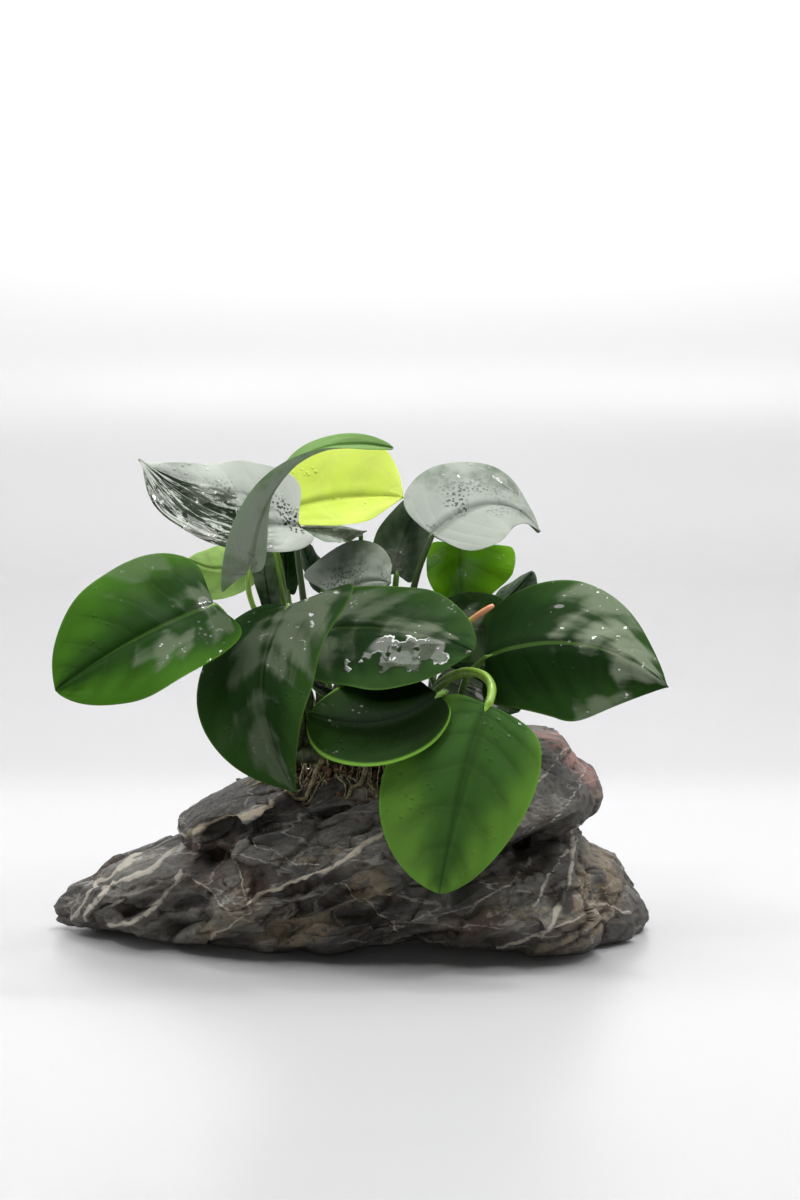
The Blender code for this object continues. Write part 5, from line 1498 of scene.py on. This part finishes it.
class ANUBIAS_OT_roots(bpy.types.Operator):
    """Builds the five thick roots, the fine roots round them and the crumbs of debris on the stone"""
    bl_idname = "anubias.roots"
    bl_label = "Roots"

    def execute(self, context):
        settings = context.scene.anubias_plant
        tree = stone_tree()
        skin = bark_finish("root_skin", tuple(settings.root), tinted(settings.root, 0.4), 600)
        for number, (share, end_x, end_y) in enumerate(ROOTS, 1):
            away = np.array([0.0, math.copysign(0.9, end_y), -0.43])
            start = rhizome_centre(share) + away * (RHIZOME_RADIUS * 0.85)
            path = root_path(tree, start, (end_x, end_y), ROOT_RINGS, 0.9, number)
            rings = 1 + 0.08 * np.sin(np.arange(ROOT_RINGS) * 1.9)
            radii = ROOT_RADIUS * np.linspace(1.0, 0.45, ROOT_RINGS) * rings
            piece = make_piece(f"root_{number}_shown", *tube_surface(path, radii, ROOT_SIDES))
            settle(piece, "root", skin, f"root_{number}")
        maker = np.random.default_rng(7)
        hairs = []
        for number in range(settings.fine_roots):
            share = maker.uniform(0.02, 0.98)
            side = -1 if maker.random() < 0.65 else 1
            lean = math.radians(maker.uniform(95, 150)) * side
            away = np.array([0.0, math.sin(lean), math.cos(lean)])
            start = rhizome_centre(share) + away * (RHIZOME_RADIUS * 0.9)
            reach = maker.uniform(1, 15)
            end = (start[0] + maker.normal(0, 5), start[1] + side * reach)
            path = root_path(tree, start, end, FINE_ROOT_RINGS, 0.25, number + 20)
            radii = maker.uniform(0.16, 0.34) * np.linspace(1.0, 0.5, FINE_ROOT_RINGS)
            hairs.append(tube_surface(path, radii, FINE_ROOT_SIDES))
        skin = bark_finish("fine_root_skin", (0.42, 0.38, 0.24), (0.16, 0.13, 0.06), 900)
        settle(joined("fine_roots", hairs), "root", skin)
        skin = bark_finish("crumb_skin", (0.16, 0.085, 0.03), (0.03, 0.018, 0.008), 500)
        settle(crumbs(tree), "root", skin)
        return {"FINISHED"}


def sheaths():
    """Half-rolled sheaths round the feet of the stalks: small blades that stand on the rhizome."""
    maker = np.random.default_rng(11)
    parts = []
    for number in range(SHEATHS):
        start, away = rhizome_place(maker.uniform(0.08, 0.72), maker.uniform(-62, 40))
        ahead = unit(away + np.array([maker.normal(0, 0.3), 0.0, 0.9]))
        across = unit(np.cross(ahead, (maker.normal(0, 0.3), 1.0, 0.0)))
        length, width = maker.uniform(12, 24), maker.uniform(2.0, 3.6)
        middle = start + ahead * length * 0.5 - np.cross(across, ahead) * 0.8
        leaf = Leaf(base=start, middle=middle, tip=start + ahead * length, left=middle - across * width,
                    right=middle + across * width, root=(0, 0), lobes=(0, 0), curl=(70, 70), point=1.4,
                    wave=0.3, quilt=0.0)
        parts.append(blade_surface(leaf, number, 0.35, SHEATH_ROWS, SHEATH_COLUMNS)[:3])
    return joined("sheaths", parts)


def root_path(tree, start, end, steps, lift, seed):
    """A root's way over the stone: down from its start, then a swaying line that keeps to the ground."""
    points = []
    for t in np.linspace(0, 1, steps):
        sway = math.sin(seed * 2.4 + t * 6) * 1.2 * math.sin(math.pi * t)
        x = start[0] + (end[0] - start[0]) * t + sway
        y = start[1] + (end[1] - start[1]) * t
        height = ground(tree, x, y)
        height = start[2] - 6 if height is None else height
        drop = max(0.0, 1 - t / 0.35)
        points.append((x, y, height + lift + max(start[2] - height - lift, 0.0) * drop ** 1.3))
    return np.array(points)


def crumbs(tree):
    """Crumbs of old bark and silt round the rhizome: rough lumps, some on the stone, more above it.

    A lump is a ball of a few rings, stretched by its own share each way, with each of its points
    then moved in or out by a random share.
    """
    maker = np.random.default_rng(5)
    turn = np.arange(CRUMB_SIDES) / CRUMB_SIDES * 2 * math.pi
    rise = np.array([-0.7, -0.25, 0.25, 0.7])[:, None]
    ball = beside(np.cos(rise) * np.cos(turn), np.cos(rise) * np.sin(turn), np.sin(rise))
    ball = np.concatenate([ball.reshape(-1, 3), [[0, 0, -1.0], [0, 0, 1.0]]])
    faces = ring_faces(len(rise), CRUMB_SIDES)
    parts = []
    for number in range(CRUMBS):
        centre = rhizome_centre(maker.uniform(0, 1))
        x = centre[0] + maker.normal(0, 4)
        y = centre[1] - maker.gamma(2.0, 3.4) * maker.choice([1, 1, -1])
        if number % 3:
            y = centre[1] + maker.normal(0, 2.5)
        height = ground(tree, x, y)
        if height is None or height < LOWEST_CRUMB:
            continue
        size = maker.uniform(0.25, 0.9)
        if number % 3:
            size *= 1.6
            height = maker.uniform(height, max(height, centre[2] - 0.8 * RHIZOME_RADIUS))
        lump = ball * size * maker.uniform(0.6, 1.3, 3) * (1 + 0.25 * maker.normal(size=(len(ball), 1)))
        parts.append((lump + np.array([x, y, height + 0.2 * size]), *faces))
    return joined("crumbs", parts)


def paper_points():
    """Points of the paper: a flat floor, a quarter circle and a wall, carried across the stage."""
    sweep = np.linspace(0, math.pi / 2, PAPER_STEPS)[1:]
    bend = PAPER_WALL - PAPER_BEND
    profile = [(PAPER_NEAR, 0.0), (bend, 0.0)]
    profile += [(bend + PAPER_BEND * math.sin(a), PAPER_BEND - PAPER_BEND * math.cos(a)) for a in sweep]
    back, height = np.array(profile + [(PAPER_WALL, PAPER_TOP)]).T
    across = np.linspace(-PAPER_HALF_WIDTH, PAPER_HALF_WIDTH, 3)[:, None]
    return beside(across, back, height) / MM


class ANUBIAS_OT_stage(bpy.types.Operator):
    """Builds the floor that sweeps up into a wall, the lamps and the camera"""
    bl_idname = "anubias.stage"
    bl_label = "Stage"

    def execute(self, context):
        settings = context.scene.anubias_stage
        points = paper_points()
        index = np.arange(points.shape[0] * points.shape[1]).reshape(points.shape[:2])
        no_triangles = np.empty((0, 3), dtype=int)
        floor = make_piece("floor", points.reshape(-1, 3), sheet_faces(index), no_triangles)
        floor.data.materials.append(floor_finish(tuple(settings.floor)))
        for name, place, target, width, height, power in LAMPS:
            lamp = bpy.data.lights.new(name, "AREA")
            lamp.shape = "RECTANGLE"
            lamp.size, lamp.size_y = width, height
            lamp.energy = power * settings.light
            holder = bpy.data.objects.new(name, lamp)
            holder.location = place
            aim = Vector(target) - Vector(place)
            holder.rotation_euler = aim.to_track_quat("-Z", "Y").to_euler()
            context.scene.collection.objects.link(holder)
        world = bpy.data.worlds.new("studio_air")
        world.use_nodes = True
        air = world.node_tree.nodes["Background"]
        air.inputs[0].default_value, air.inputs[1].default_value = AIR_COLOUR, AIR_STRENGTH
        context.scene.world = world
        context.scene.view_settings.view_transform = "Standard"
        lens = bpy.data.cameras.new("camera")
        lens.lens = LENS
        lens.dof.use_dof = False
        camera = bpy.data.objects.new("camera", lens)
        camera.location = (LOOKED_AT[0], -settings.distance * math.cos(settings.tilt),
                           LOOKED_AT[1] + settings.distance * math.sin(settings.tilt))
        camera.rotation_euler = (math.pi / 2 - settings.tilt, 0, 0)
        context.scene.collection.objects.link(camera)
        context.scene.camera = camera
        return {"FINISHED"}


class ANUBIAS_PT_panel(bpy.types.Panel):
    """Lists the settings and the steps"""
    bl_idname = "ANUBIAS_PT_panel"
    bl_label = "Anubias on stone"
    bl_space_type = "VIEW_3D"
    bl_region_type = "UI"
    bl_category = "Anubias"

    def draw(self, context):
        layout = self.layout
        for group, names in ((context.scene.anubias_stone, StoneSettings.__annotations__),
                             (context.scene.anubias_plant, PlantSettings.__annotations__),
                             (context.scene.anubias_stage, StageSettings.__annotations__)):
            box = layout.box()
            for name in names:
                box.prop(group, name)
        for step in STEPS:
            layout.operator(step.bl_idname)


GROUPS = {"anubias_stone": StoneSettings, "anubias_plant": PlantSettings, "anubias_stage": StageSettings}
STEPS = (ANUBIAS_OT_stone, ANUBIAS_OT_rhizome, ANUBIAS_OT_leaves, ANUBIAS_OT_cut_stalk, ANUBIAS_OT_roots,
         ANUBIAS_OT_stage)


def register():
    for name, group in GROUPS.items():
        bpy.utils.register_class(group)
        setattr(bpy.types.Scene, name, bpy.props.PointerProperty(type=group))
    for step in (*STEPS, ANUBIAS_PT_panel):
        bpy.utils.register_class(step)


def unregister():
    for step in reversed((*STEPS, ANUBIAS_PT_panel)):
        bpy.utils.unregister_class(step)
    for name, group in GROUPS.items():
        delattr(bpy.types.Scene, name)
        bpy.utils.unregister_class(group)


def main():
    register()
    bpy.ops.anubias.stone()
    bpy.ops.anubias.rhizome()
    bpy.ops.anubias.leaves()
    bpy.ops.anubias.cut_stalk()
    bpy.ops.anubias.roots()
    bpy.ops.anubias.stage()


if __name__ == "__main__":
    main()
